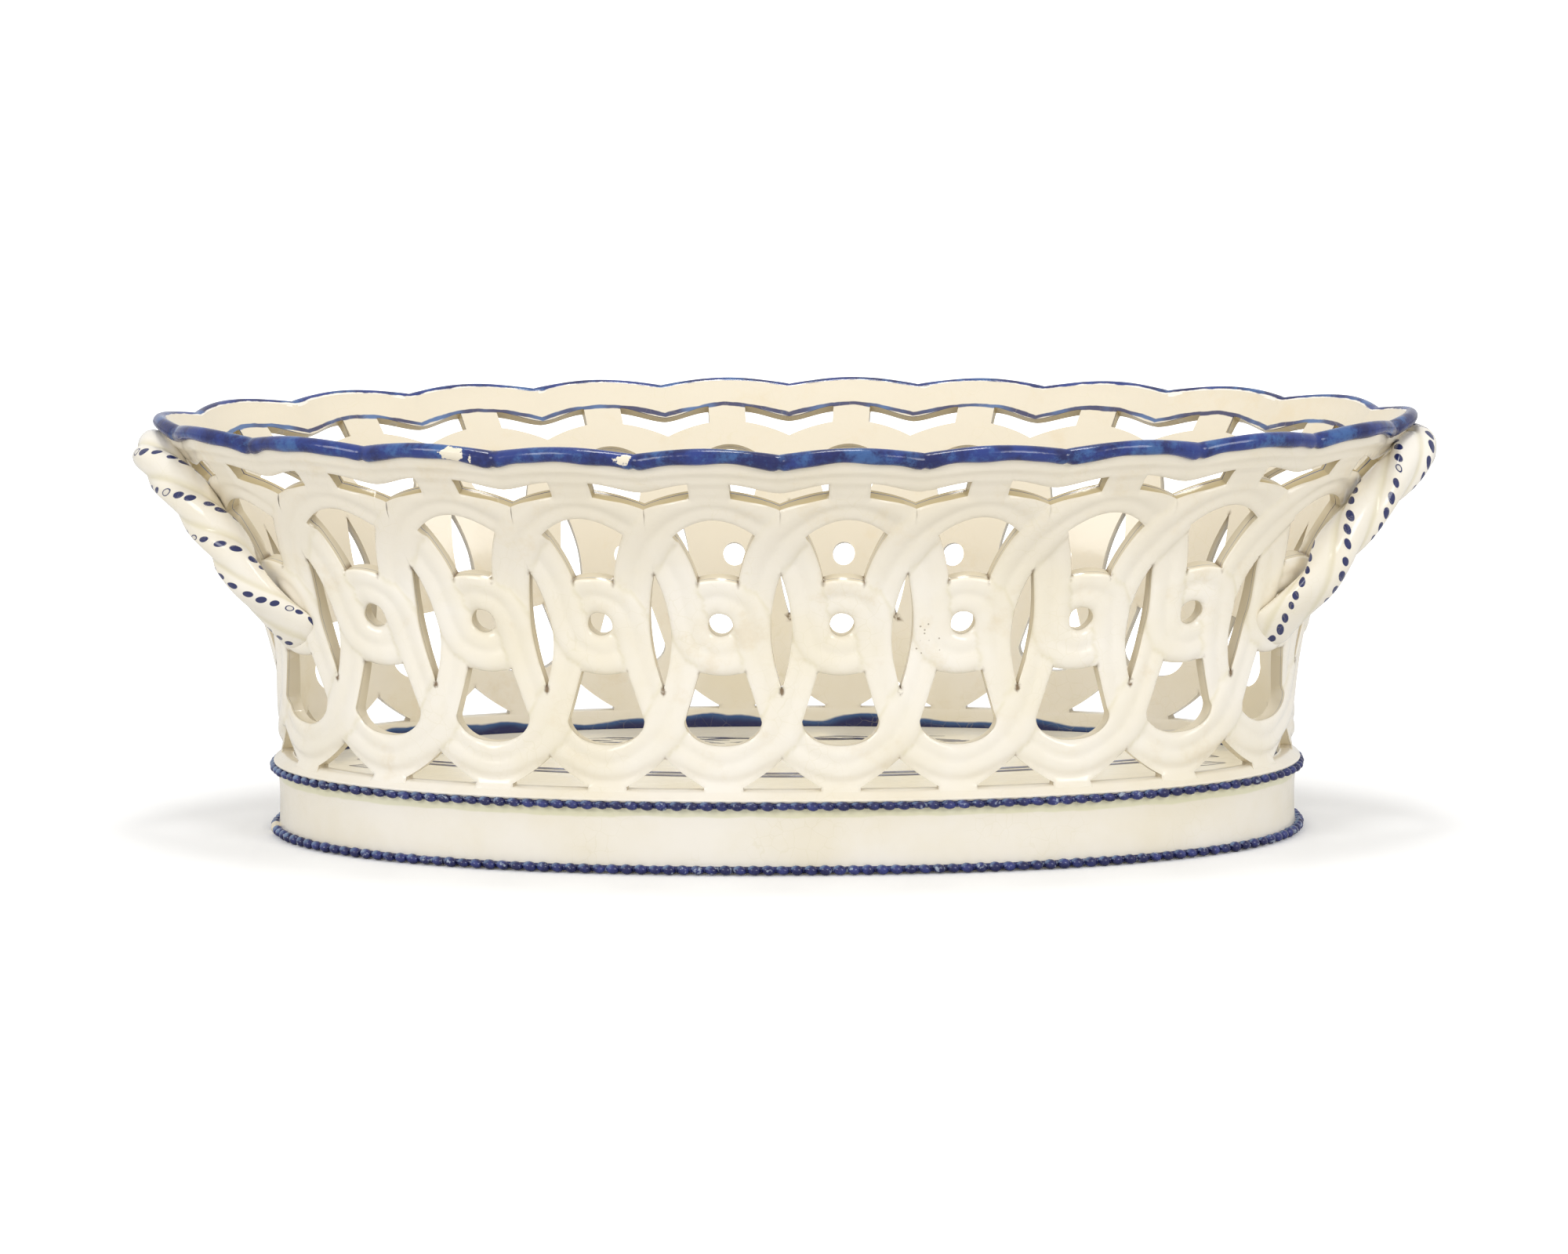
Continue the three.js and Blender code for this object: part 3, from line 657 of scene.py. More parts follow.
def foot_profile():
    face = WALL_THICKNESS / 2
    lip = UPPER_BEAD_HEIGHT + BEAD_RADIUS * LIP_SHARE
    seat = FLOOR_HEIGHT - FLOOR_THICKNESS - SEAT_GAP
    foot, wall = (foot_ovals, 0.0), (wall_ovals, LEDGE_HEIGHT)
    profile = [(*foot, out, height) for out, height in FOOT_EDGE]
    for share in np.linspace(0, 1, WAIST["steps"]):
        rise = WAIST["bottom"] + (UPPER_BEAD_HEIGHT - WAIST["bottom"]) * share
        profile.append((*foot, -WAIST["depth"] * math.sin(math.pi * share), rise))
    profile += [(*foot, out, lip + rise) for out, rise in COVE]
    for side, (out, rise) in zip((1, -1, -1, -1), LEDGE_TOP):
        profile.append((*wall, side * face + out, LEDGE_HEIGHT + rise))
    profile += [(*wall, -face + SEAT_RUN["out"], height) for height in SEAT_RUN["heights"]]
    profile += [(*wall, -face, seat), (*wall, -face - FLOOR_SEAT_WIDTH, seat)]
    profile += [(*foot, -FOOT_WALL_DEPTH, FOOT_CHAMFER), (*foot, -FOOT_WALL_DEPTH + FOOT_CHAMFER, 0.0)]
    return profile


def foot_ring(material):
    profile = foot_profile()
    inside = [1.0 if ovals is wall_ovals and out < 0 else 0.0 for ovals, _, out, _ in profile]
    section = oval_section(profile)
    return swept_ring("foot_and_ledge", RING_STEPS, section, material, {"inside": inside}, FOOT_ANGLE)


FLOOR_DISH = 0.25
DISH_FALL = 3
DISH_STEPS = (1.5, 3, 6, 10)
DISH_SHARES = (0.7, 0.45, 0.2)


def floor_plate(material):
    """The plate from the middle of its underside, round its edge, to the middle of its dished top."""
    edge = -WALL_THICKNESS / 2 - SEAT_GAP
    bottom, top = FLOOR_HEIGHT - FLOOR_THICKNESS, FLOOR_HEIGHT - FLOOR_DISH
    place, normal = wall_ovals.at(np.arange(RING_STEPS) / RING_STEPS, LEDGE_HEIGHT)
    rings = [(edge, 1, bottom), (edge, 1, FLOOR_HEIGHT)]
    for step in DISH_STEPS:
        rings.append((edge - step, 1, FLOOR_HEIGHT - FLOOR_DISH * (1 - math.exp(-step / DISH_FALL))))
    rings += [(edge - DISH_STEPS[-1], share, top) for share in DISH_SHARES]
    rings = np.stack([at_height((place + normal * out) * share, height) for out, share, height in rings])
    points, faces = capped_tube(rings, (0, 0, bottom), (0, 0, top))
    return mesh_object("basket_floor", points, faces, material, None, FLOOR_ANGLE)


ROLL_SIDES = 18
ROLL_STEPS = 32
ROLL_SHIFT = 0.2
# Thickness of the roll over its plain radius: plain, slow waves (turns, start), and at the cusps
ROLL_SWELL = 0.13
ROLL_WAVE = 0.05
ROLL_WAVES = ((31, 1.0), (57, 4.0))
CUSP_SWELL = (0.16, 3.2)
CUSP_NICK = (0.22, 0.75)
ROLL_SAG = 0.85


def rim_roll(material):
    angle = 2 * math.pi * np.arange(ROLL_SIDES) / ROLL_SIDES

    def section(shares):
        height = RIM_CUSP_HEIGHT + (RIM_CROWN_HEIGHT - RIM_CUSP_HEIGHT) * scallop(shares)
        middle, normal = wall_middle(shares, height)
        cusp_gap = np.abs((shares * MOTIFS + 0.5) % 1 - 0.5) * pitch_at(RIM_CUSP_HEIGHT)
        wave = sum(np.sin(shares * 2 * math.pi * turns + start) for turns, start in ROLL_WAVES)
        swell = ROLL_SWELL + ROLL_WAVE * wave + CUSP_SWELL[0] * hump(cusp_gap, CUSP_SWELL[1])
        radius = ROLL_RADIUS * (1 + swell - CUSP_NICK[0] * hump(cusp_gap, CUSP_NICK[1]))
        middle[..., 2] -= ROLL_SAG * (radius - ROLL_RADIUS)
        out = ROLL_SHIFT + radius[:, None] * np.cos(angle)
        up = radius[:, None] * np.sin(angle)
        flat = middle[:, None, :2] + normal[:, None, :] * out[..., None]
        return np.concatenate([flat, (middle[:, None, 2] + up)[..., None]], -1)

    return swept_ring("rim_roll_painted", MOTIFS * ROLL_STEPS, section, material, {"outward": np.cos(angle)})


CORE = {"radius": 0.7, "depth": 0.3, "half": 0.6, "angle": 1.2, "tone": -0.6}


def bead_core(name, height, material):
    """The line of clay on which the beads of a string sit."""
    angles = np.linspace(-CORE["angle"], CORE["angle"], 7)
    profile = [(-CORE["depth"], -CORE["half"])]
    profile += [(CORE["radius"] * math.cos(a), CORE["radius"] * math.sin(a)) for a in angles]
    profile += [(-CORE["depth"], CORE["half"])]
    section = oval_section([(foot_ovals, 0.0, out, height + rise) for out, rise in profile])
    return swept_ring(name, RING_STEPS, section, material, {"tone": np.full(len(profile), CORE["tone"])})


def add(tree, kind, values=None, **settings):
    """A node with its settings, and its inputs linked to sockets or set to values."""
    made = tree.nodes.new(kind)
    for key, value in settings.items():
        setattr(made, key, value)
    for key, value in (values or {}).items():
        value = value.socket if isinstance(value, Flow) else value
        if isinstance(value, bpy.types.NodeSocket):
            tree.links.new(value, made.inputs[key])
        else:
            made.inputs[key].default_value = value
    return made


# Fineness of a bead, and its smallest and largest share of its row's length, depth and height
BEAD_SIDES = 10
BEAD_RINGS = 7
BEAD_SMALLEST = (0.92, 0.9, 0.88)
BEAD_LARGEST = (1.06, 1.08, 1.1)


def bead_tree():
    """Beads set along a closed line: slanted, pressed into each other, each of its own tone."""
    tree = bpy.data.node_groups.new("beads_along_line", "GeometryNodeTree")
    inputs = {"Line": "Geometry", "Count": "Int", "Bead Length": "Float", "Bead Height": "Float",
              "Bead Depth": "Float", "Slant": "Float", "Seed": "Int", "Material": "Material"}
    for name, kind in inputs.items():
        tree.interface.new_socket(name, in_out="INPUT", socket_type="NodeSocket" + kind)
    tree.interface.new_socket("Beads", in_out="OUTPUT", socket_type="NodeSocketGeometry")
    given = add(tree, "NodeGroupInput").outputs
    line = add(tree, "GeometryNodeMeshToCurve", {"Mesh": given["Line"]})
    even = add(tree, "GeometryNodeResampleCurve", {"Curve": line.outputs[0], "Count": given["Count"]})
    tangent = add(tree, "GeometryNodeInputTangent")
    size = add(tree, "ShaderNodeCombineXYZ",
               {"X": given["Bead Length"], "Y": given["Bead Depth"], "Z": given["Bead Height"]})
    ball = add(tree, "GeometryNodeMeshUVSphere", {"Segments": BEAD_SIDES, "Rings": BEAD_RINGS, "Radius": 0.5})
    turn = add(tree, "FunctionNodeAlignRotationToVector", {"Vector": tangent.outputs[0]}, axis="X")
    up = add(tree, "FunctionNodeAlignRotationToVector", {"Rotation": turn.outputs[0], "Vector": (0, 0, 1)},
             axis="Z", pivot_axis="X")
    lean = add(tree, "FunctionNodeAxisAngleToRotation", {"Axis": (0, 1, 0), "Angle": given["Slant"]})
    both = add(tree, "FunctionNodeRotateRotation", {"Rotation": up.outputs[0], "Rotate By": lean.outputs[0]},
               rotation_space="LOCAL")
    vary = add(tree, "FunctionNodeRandomValue",
               {"Min": BEAD_SMALLEST, "Max": BEAD_LARGEST, "Seed": given["Seed"]}, data_type="FLOAT_VECTOR")
    scale = add(tree, "ShaderNodeVectorMath", {0: size.outputs[0], 1: vary.outputs[0]}, operation="MULTIPLY")
    beads = add(tree, "GeometryNodeInstanceOnPoints",
                {"Points": even.outputs[0], "Instance": ball.outputs[0], "Rotation": both.outputs[0],
                 "Scale": scale.outputs[0]})
    pick = add(tree, "FunctionNodeRandomValue", {"Seed": given["Seed"]}, data_type="FLOAT")
    tone = add(tree, "GeometryNodeStoreNamedAttribute",
               {"Geometry": beads.outputs[0], "Name": "tone", "Value": pick.outputs[1]},
               data_type="FLOAT", domain="INSTANCE")
    real = add(tree, "GeometryNodeRealizeInstances", {"Geometry": tone.outputs[0]})
    soft = add(tree, "GeometryNodeSetShadeSmooth", {"Geometry": real.outputs[0]})
    done = add(tree, "GeometryNodeSetMaterial", {"Geometry": soft.outputs[0], "Material": given["Material"]})
    add(tree, "NodeGroupOutput", {"Beads": done.outputs[0]})
    return tree


# How far the beads' middles stand out from the foot's oval, and the two strings: height, number of
# beads, each bead's length, height and depth, its slant, and the seed of its small differences
BEAD_OUT = 0.75
BEAD_LINE_STEPS = 704
LOWER_BEADS = (LOWER_BEAD_HEIGHT, 187, (2.85, 1.98, 2.3), 0.2, 3)
UPPER_BEADS = (UPPER_BEAD_HEIGHT, 176, (3.02, 1.82, 2.2), 0.18, 5)


def bead_string(name, tree, row, material):
    height, count, sizes, slant, seed = row
    place, normal = foot_ovals.at(np.arange(BEAD_LINE_STEPS) / BEAD_LINE_STEPS, 0.0)
    points = at_height(place + normal * BEAD_OUT, height) * MM
    mesh = bpy.data.meshes.new(name)
    mesh.from_pydata(points.tolist(), [(i, (i + 1) % BEAD_LINE_STEPS) for i in range(BEAD_LINE_STEPS)], [])
    source = placed(bpy.data.objects.new(name + "_line", mesh))
    modifier = source.modifiers.new("beads", "NODES")
    modifier.node_group = tree
    ids = {s.name: s.identifier for s in tree.interface.items_tree if s.in_out == "INPUT"}
    values = {"Count": count, "Slant": slant, "Seed": seed, "Material": material}
    values.update({"Bead " + way: size * MM for way, size in zip(("Length", "Height", "Depth"), sizes)})
    for key, value in values.items():
        modifier[ids[key]] = value
    graph = bpy.context.evaluated_depsgraph_get()
    beads = bpy.data.meshes.new_from_object(source.evaluated_get(graph))
    bpy.data.objects.remove(source)
    return placed(bpy.data.objects.new(name, beads))


# Rope handles

# Middle line of a handle, up to its top: motifs from the end, share of the rise, share of the rope's
# radius that the middle stands off the wall
HANDLE_STATIONS = [
    (1.16, -0.02, -0.14), (1.0, 0.18, 0.6), (0.93, 0.34, 1.06), (0.86, 0.52, 1.04), (0.575, 0.82, 0.98),
    (0.24, 0.985, 0.82), (0.0, 1.0, 0.74),
]
# How many strands have passed the front of the rope, by the length from its first tip
RIGHT_TWIST = [
    (0, -1.15), (6, -0.75), (12, -0.35), (22, 0.28), (31.5, 0.95), (47.6, 2), (60, 3), (76, 4),
    (92, 5), (110, 5.85), (126, 6.35),
]
LEFT_TWIST = [
    (0, -4.6), (14, -4), (30, -3), (46, -2), (62, -1), (78, 0), (94, 1), (106, 1.95), (114, 2.45),
    (126, 2.85),
]
HANDLE_SAMPLES = 1600
ROPE_RINGS = 190
RING_CROWDING = 0.02
TIP_GAP = 0.05
STRANDS = 3
STRAND_WIDTH = 2 * math.pi * ROPE_RADIUS / STRANDS
LOBE_STEPS = 18
LOBE_DEPTH = 0.95
LOBE_SHALLOW = 0.05
LOBE_CREST = 0.36
FRONT_ANGLE = math.radians(255)
DOT_PLACE = 0.31
# The ends run out flat on the wall over this length, to this half depth and half width at the tips
BLEND_LENGTH = 24.0
TIP_HALF_DEPTH = 1.3
TIP_HALF_WIDTH = 6.8
DEPTH_POWER = 1.05
WIDTH_POWER = 0.8
TIP_ROUNDING = 4.0


def centripetal(points, samples):
    """Line through points with even tension, sampled by the number of the span."""
    p = np.vstack([2 * points[0] - points[1], points, 2 * points[-1] - points[-2]])
    place = np.linspace(0, len(points) - 1, samples)
    span = np.minimum(place.astype(int), len(points) - 2)
    t = (place - span)[:, None]
    a, b, c, d = (p[span + i] for i in range(4))
    d0, d1, d2 = (np.sqrt(np.linalg.norm(q - r, axis=1))[:, None] for q, r in ((b, a), (c, b), (d, c)))
    m1 = ((b - a) / d0 - (c - a) / (d0 + d1) + (c - b) / d1) * d1
    m2 = ((c - b) / d1 - (d - b) / (d1 + d2) + (d - c) / d2) * d1
    return b + m1 * t + (-3 * b + 3 * c - 2 * m1 - m2) * t**2 + (2 * b - 2 * c + m1 + m2) * t**3


def handle_lines():
    """The right handle's middle line from front to back, and the same line stood off outwards."""
    rows = [(-cells, rise, stand) for cells, rise, stand in HANDLE_STATIONS] + HANDLE_STATIONS[-2::-1]
    cells, rise, stand = np.array(rows).T
    height = HANDLE_TIP_HEIGHT + (HANDLE_TOP_HEIGHT - HANDLE_TIP_HEIGHT) * rise
    offset = WALL_THICKNESS / 2 + SEAT_GAP + ROPE_RADIUS * stand
    middle, square = wall_point(0.25 + cells / MOTIFS, height, offset)
    return centripetal(middle, HANDLE_SAMPLES), centripetal(middle + square, HANDLE_SAMPLES)


def lobe_shape(u):
    """Depth of a strand's face under its crest, 0 to 1, steep above the crest and gentle below it."""
    above = np.abs((LOBE_CREST - u) / LOBE_CREST)
    below = np.abs((u - LOBE_CREST) / (1 - LOBE_CREST))
    from_crest = np.where(u < LOBE_CREST, above, below)
    return 0.55 * from_crest**2 + 0.45 * (0.5 - 0.5 * np.cos(math.pi * from_crest))


def unit(vectors):
    return vectors / np.linalg.norm(vectors, axis=1, keepdims=True)


def rope_handle(name, turned, twist, material):
    middle, outer = handle_lines()
    length = np.concatenate([[0], np.cumsum(np.linalg.norm(np.diff(middle, axis=0), axis=1))])
    total = length[-1]
    rings = np.linspace(0, 1, ROPE_RINGS)
    at = total * (rings - RING_CROWDING * np.sin(2 * math.pi * rings))
    at[0], at[-1] = TIP_GAP, total - TIP_GAP
    point, away = (np.stack([np.interp(at, length, line[:, i]) for i in range(3)], -1)
                   for line in (middle, outer))
    along = unit(np.gradient(point, axis=0))
    away -= point
    away = unit(away - along * (away * along).sum(1, keepdims=True))
    across = np.cross(along, away)
    from_end = np.minimum(at, total - at)
    share = np.clip(from_end / BLEND_LENGTH, 0, 1)
    half_depth = TIP_HALF_DEPTH + (ROPE_RADIUS - TIP_HALF_DEPTH) * share**DEPTH_POWER
    half_width = TIP_HALF_WIDTH + (ROPE_RADIUS - TIP_HALF_WIDTH) * share**WIDTH_POWER
    close = np.sqrt(1 - (1 - np.clip(from_end / TIP_ROUNDING, 0, 1)) ** 2)
    depth = LOBE_DEPTH * smooth(0.1, 1.0, share) + LOBE_SHALLOW
    passed = spline(twist, 40)
    passed = np.interp(at, passed[:, 0], passed[:, 1])
    strand = np.repeat(np.arange(STRANDS), LOBE_STEPS)
    u = np.tile(np.linspace(0, 1, LOBE_STEPS, endpoint=False), STRANDS)
    angle = FRONT_ANGLE + (strand + u - DOT_PLACE - passed[:, None]) * 2 * math.pi / STRANDS
    radius = (ROPE_RADIUS - depth[:, None] * lobe_shape(u)) / ROPE_RADIUS * close[:, None]
    places = (point[:, None] + away[:, None] * (np.cos(angle) * radius * half_depth[:, None])[..., None]
              + across[:, None] * (np.sin(angle) * radius * half_width[:, None])[..., None])
    points, faces = capped_tube(places, point[0], point[-1])
    made = mesh_object(name, points * [-1, -1, 1] if turned else points, faces, material)
    store_strand_places(made.data, at, len(u))
    return made


def store_strand_places(mesh, at, columns):
    """On each face corner: length along the rope, distance across from the strand's edge, strand."""
    tips = len(at) * columns
    values = np.zeros((len(mesh.loops), 3), np.float32)
    for polygon in mesh.polygons:
        corners = [mesh.loops[i].vertex_index for i in polygon.loop_indices]
        steps = [c % columns for c in corners if c < tips]
        wraps = max(steps) - min(steps) > columns / 2
        strand = (max(steps) if wraps else min(steps)) // LOBE_STEPS
        for loop_index, corner in zip(polygon.loop_indices, corners):
            if corner >= tips:
                values[loop_index] = (0, OFF_LINE, strand)
                continue
            step = corner % columns
            if wraps and step < columns / 2:
                step += columns
            u = step / LOBE_STEPS - strand
            values[loop_index] = (at[corner // columns], u * STRAND_WIDTH, strand)
    attribute = mesh.attributes.new("strand_place", "FLOAT_VECTOR", "CORNER")
    attribute.data.foreach_set("vector", values.ravel())


# Painted strokes on the floor

PAINT_RISE = 0.06
TAPER = 0.2
# Loose strokes: their rows and the oval that they follow, how far each may start beside its row and
# inside the oval, its reach, sideways drift, bend and width
STROKE_ROWS = np.arange(-78, 79, 6.5)
STROKE_OVAL = (104, 44, 2.2)
STROKES_PER_ROW = 3
STROKE_BESIDE = (-3, 3)
STROKE_INSIDE = (3, 13)
STROKE_REACH = (6, 14)
STROKE_DRIFT = (-2.5, 0.5)
STROKE_BEND = (-0.6, 0.6)
STROKE_WIDTH = (0.5, 1.2)
# Leaves: distance from the middle, length, bows of their lines, and each leaf's y and turn
LEAF_X = 82
LEAF_LENGTH = 13
LEAF_BOWS = (-0.2, 0.02, 0.2)
LEAF_PLACES = ((-14, 0.5), (2, 0.1), (16, -0.4))
# Open double line near the front
DOUBLE_LINE = {"half": 84, "y": -11.8, "bend": 17, "at": 78, "gaps": (0.0, 3.4), "widths": (1.5, 2.2, 1.5)}


def brush_stroke(points, widths, height):
    """A flat tapering stroke: places and faces, laid on the floor."""
    line = spline(points, 8)
    way = unit(np.gradient(line, axis=0))
    side = np.stack([-way[:, 1], way[:, 0]], -1)
    width = np.interp(np.linspace(0, 1, len(line)), np.linspace(0, 1, len(widths)), widths) / 2
    flat = np.stack([line + side * width[:, None], line - side * width[:, None]], 1).reshape(-1, 2)
    faces = [(2 * i + 1, 2 * i + 3, 2 * i + 2, 2 * i) for i in range(len(line) - 1)]
    return at_height(flat, height), faces


def leaf_strokes(x, y, turn, size):
    """Two thin bowed lines that meet in a point, and a rib between them."""
    c, n = size * math.cos(turn), size * math.sin(turn)
    strokes = []
    for bow in LEAF_BOWS:
        local = [(0, 0), (0.35, bow), (0.7, bow * 0.8), (1, 0)]
        strokes.append(([(x + c * u - n * v, y + n * u + c * v) for u, v in local], (TAPER, 0.45, TAPER)))
    return strokes


def loose_strokes():
    random = np.random.default_rng(SEED)
    strokes = []
    for x in STROKE_ROWS:
        edge = STROKE_OVAL[1] * (1 - abs(x / STROKE_OVAL[0]) ** STROKE_OVAL[2]) ** 0.45
        for side in (-1, 1):
            for _ in range(STROKES_PER_ROW):
                start_x = x + random.uniform(*STROKE_BESIDE)
                start = np.array([start_x, side * (edge - random.uniform(*STROKE_INSIDE))])
                reach = random.uniform(*STROKE_REACH)
                end = start + [reach, side * random.uniform(*STROKE_DRIFT)]
                middle = (start + end) / 2 + [0, random.uniform(*STROKE_BEND)]
                strokes.append(([start, middle, end], (TAPER, random.uniform(*STROKE_WIDTH), TAPER)))
    return strokes


def floor_painting(material):
    strokes = loose_strokes()
    for side in (-1, 1):
        for y, turn in LEAF_PLACES:
            strokes += leaf_strokes(side * LEAF_X, y, turn if side > 0 else math.pi - turn, LEAF_LENGTH)
    x = np.linspace(-DOUBLE_LINE["half"], DOUBLE_LINE["half"], 25)
    for gap in DOUBLE_LINE["gaps"]:
        y = DOUBLE_LINE["y"] + gap + DOUBLE_LINE["bend"] * (x / DOUBLE_LINE["at"]) ** 2
        strokes.append((np.stack([x, y], -1), DOUBLE_LINE["widths"]))
    points, faces = [], []
    for line, widths in strokes:
        first = sum(len(places) for places in points)
        places, quads = brush_stroke(line, widths, FLOOR_HEIGHT - FLOOR_DISH + PAINT_RISE)
        points.append(places)
        faces += [[i + first for i in quad] for quad in quads]
    return mesh_object("floor_painting", np.vstack(points), faces, material)


# Finishes

def srgb(*seen):
    """A colour as seen, 0 to 255, in linear light."""
    shares = [value / 255 for value in seen]
    return (*[c / 12.92 if c <= 0.04045 else ((c + 0.055) / 1.055) ** 2.4 for c in shares], 1.0)


IVORY = srgb(246, 240, 228)
IVORY_WARM = srgb(240, 231, 209)
POOLED_GLAZE = srgb(214, 203, 158)
# Cut sides of the openings: a pooled-glaze olive darkened with painted shade
CUT_SIDE_SHADE = srgb(194, 178, 140)
# Painted shade: a darker, warmer ivory for the wall's flared top outside and its upper inside
SHADED_IVORY = srgb(229, 219, 198)
AGED_GLAZE = srgb(224, 206, 170)
UNDER_BEAD = srgb(214, 214, 160)
STAIN = srgb(104, 74, 30)
SPECK = srgb(120, 100, 70)
COBALT = srgb(36, 56, 126)
COBALT_DARK = srgb(22, 30, 86)
COBALT_LIGHT = srgb(66, 106, 160)
BEAD_NAVY = srgb(30, 33, 82)
BEAD_BLUE = srgb(56, 64, 128)
BEAD_LIT_PALE = srgb(116, 140, 176)
WORN_BLUE = srgb(172, 184, 200)
DOT_BLUE = srgb(44, 50, 96)
BISCUIT = srgb(236, 226, 204)
FLOOR_CREAM = srgb(248, 242, 225)
FLOOR_WARM = srgb(240, 232, 208)
FAINT_BLUE = srgb(104, 114, 148)

GLAZE_IOR = 1.5
# How high the dimples stand, in millimetres
BUMP_HEIGHT = 0.12
# Crazing: cells for a metre, how far its cracks bend in metres, share of a cell, and strength
CRAZE_CELLS = 330.0
CRAZE_BEND = 0.0012
CRAZE_WIDTH = 0.035
CRAZE_STRENGTH = 0.16
# Pin specks: cells for a metre, share of a cell where each starts and ends to fade, and strength
SPECK_CELLS = 260.0
SPECK_EDGE = (0.05, 0.1)
SPECK_STRENGTH = 0.7


class Flow:
    """A value that a node tree works out. Sums of such values are written as usual."""

    def __init__(self, tree, socket):
        self.tree, self.socket = tree, socket

    def math(self, operation, *others):
        made = add(self.tree, "ShaderNodeMath", dict(enumerate((self, *others))), operation=operation)
        return Flow(self.tree, made.outputs[0])

    def __add__(self, other):
        return self.math("ADD", other)

    def __sub__(self, other):
        return self.math("SUBTRACT", other)

    def __mul__(self, other):
        return self.math("MULTIPLY", other)

    def __truediv__(self, other):
        return self.math("DIVIDE", other)

    def rest(self):
        """What is missing to 1."""
        return self * -1 + 1

    def fade(self, low, high, start=0.0, end=1.0):
        """From start to end, softly, while the value goes from low to high."""
        values = {"Value": self, "From Min": low, "From Max": high, "To Min": start, "To Max": end}
        made = add(self.tree, "ShaderNodeMapRange", values, interpolation_type="SMOOTHSTEP")
        return Flow(self.tree, made.outputs["Result"])

    def blend(self, first, second):
        """The first colour where the value is 0, and the second where it is 1."""
        made = add(self.tree, "ShaderNodeMix", {0: self, 6: first, 7: second}, data_type="RGBA")
        return Flow(self.tree, made.outputs[2])


class Surface:
    """A node tree and the place on the object, from which it draws its patterns."""

    def __init__(self, tree):
        self.tree = tree
        self.place = add(tree, "ShaderNodeTexCoord").outputs["Object"]

    def noise(self, scale, detail=2.0, roughness=0.5):
        values = {"Vector": self.place, "Scale": scale, "Detail": detail, "Roughness": roughness}
        return Flow(self.tree, add(self.tree, "ShaderNodeTexNoise", values).outputs["Fac"])

    def cells(self, scale):
        """Distance from the middle of a small cell, and a chance value for that cell."""
        outputs = add(self.tree, "ShaderNodeTexVoronoi", {"Vector": self.place, "Scale": scale}).outputs
        return Flow(self.tree, outputs["Distance"]), Flow(self.tree, outputs["Color"])

    def number(self, name):
        """A named value that the mesh holds."""
        return Flow(self.tree, add(self.tree, "ShaderNodeAttribute", attribute_name=name).outputs["Fac"])

    def height(self):
        split = add(self.tree, "ShaderNodeSeparateXYZ", {0: self.place})
        return Flow(self.tree, split.outputs["Z"]) / MM

    def gap_to(self, x, y, z):
        values = {0: self.place, 1: (x * MM, y * MM, z * MM)}
        gap = add(self.tree, "ShaderNodeVectorMath", values, operation="DISTANCE")
        return Flow(self.tree, gap.outputs["Value"]) / MM


def glaze_group():
    """Old lead glaze: slow change of tone, pin specks, fine crazing, dimples, uneven gloss."""
    tree = bpy.data.node_groups.new("old_lead_glaze", "ShaderNodeTree")
    for name in ("Speck Amount", "Gloss"):
        tree.interface.new_socket(name, in_out="INPUT", socket_type="NodeSocketFloat")
    for name in ("Tone", "Speck", "Craze", "Roughness", "Height"):
        tree.interface.new_socket(name, in_out="OUTPUT", socket_type="NodeSocketFloat")
    amount, gloss = (Flow(tree, s) for s in list(add(tree, "NodeGroupInput").outputs)[:2])
    surface = Surface(tree)
    gap, chance = surface.cells(SPECK_CELLS)
    bent = add(tree, "ShaderNodeTexNoise", {"Vector": surface.place, "Scale": 420.0, "Detail": 2.0})
    shift = add(tree, "ShaderNodeVectorMath", {0: bent.outputs["Color"], "Scale": CRAZE_BEND},
                operation="SCALE")
    moved = add(tree, "ShaderNodeVectorMath", {0: surface.place, 1: shift.outputs[0]}, operation="ADD")
    crack = add(tree, "ShaderNodeTexVoronoi", {"Vector": moved.outputs[0], "Scale": CRAZE_CELLS},
                feature="DISTANCE_TO_EDGE")
    crack = Flow(tree, crack.outputs["Distance"]).fade(0.0, CRAZE_WIDTH, 1.0, 0.0)
    add(tree, "NodeGroupOutput", {
        "Tone": surface.noise(34.0, 4.0, 0.6).fade(0.3, 0.75),
        "Speck": gap.fade(*SPECK_EDGE, 1.0, 0.0) * chance.math("LESS_THAN", amount),
        "Craze": crack * surface.noise(60.0).fade(0.45, 0.65),
        "Roughness": gloss + surface.noise(900.0, 3.0) * 0.1,
        "Height": surface.noise(240.0, 3.0) + surface.noise(70.0, 1.0) * 2.2,
    })
    return tree


def new_material(name, colour, rough):
    material = bpy.data.materials.new(name)
    material.use_nodes = True
    material.diffuse_color = colour
    shader = material.node_tree.nodes["Principled BSDF"]
    for key, value in (("Base Color", colour), ("Roughness", rough), ("IOR", GLAZE_IOR)):
        shader.inputs[key].default_value = value
    return material, material.node_tree, shader


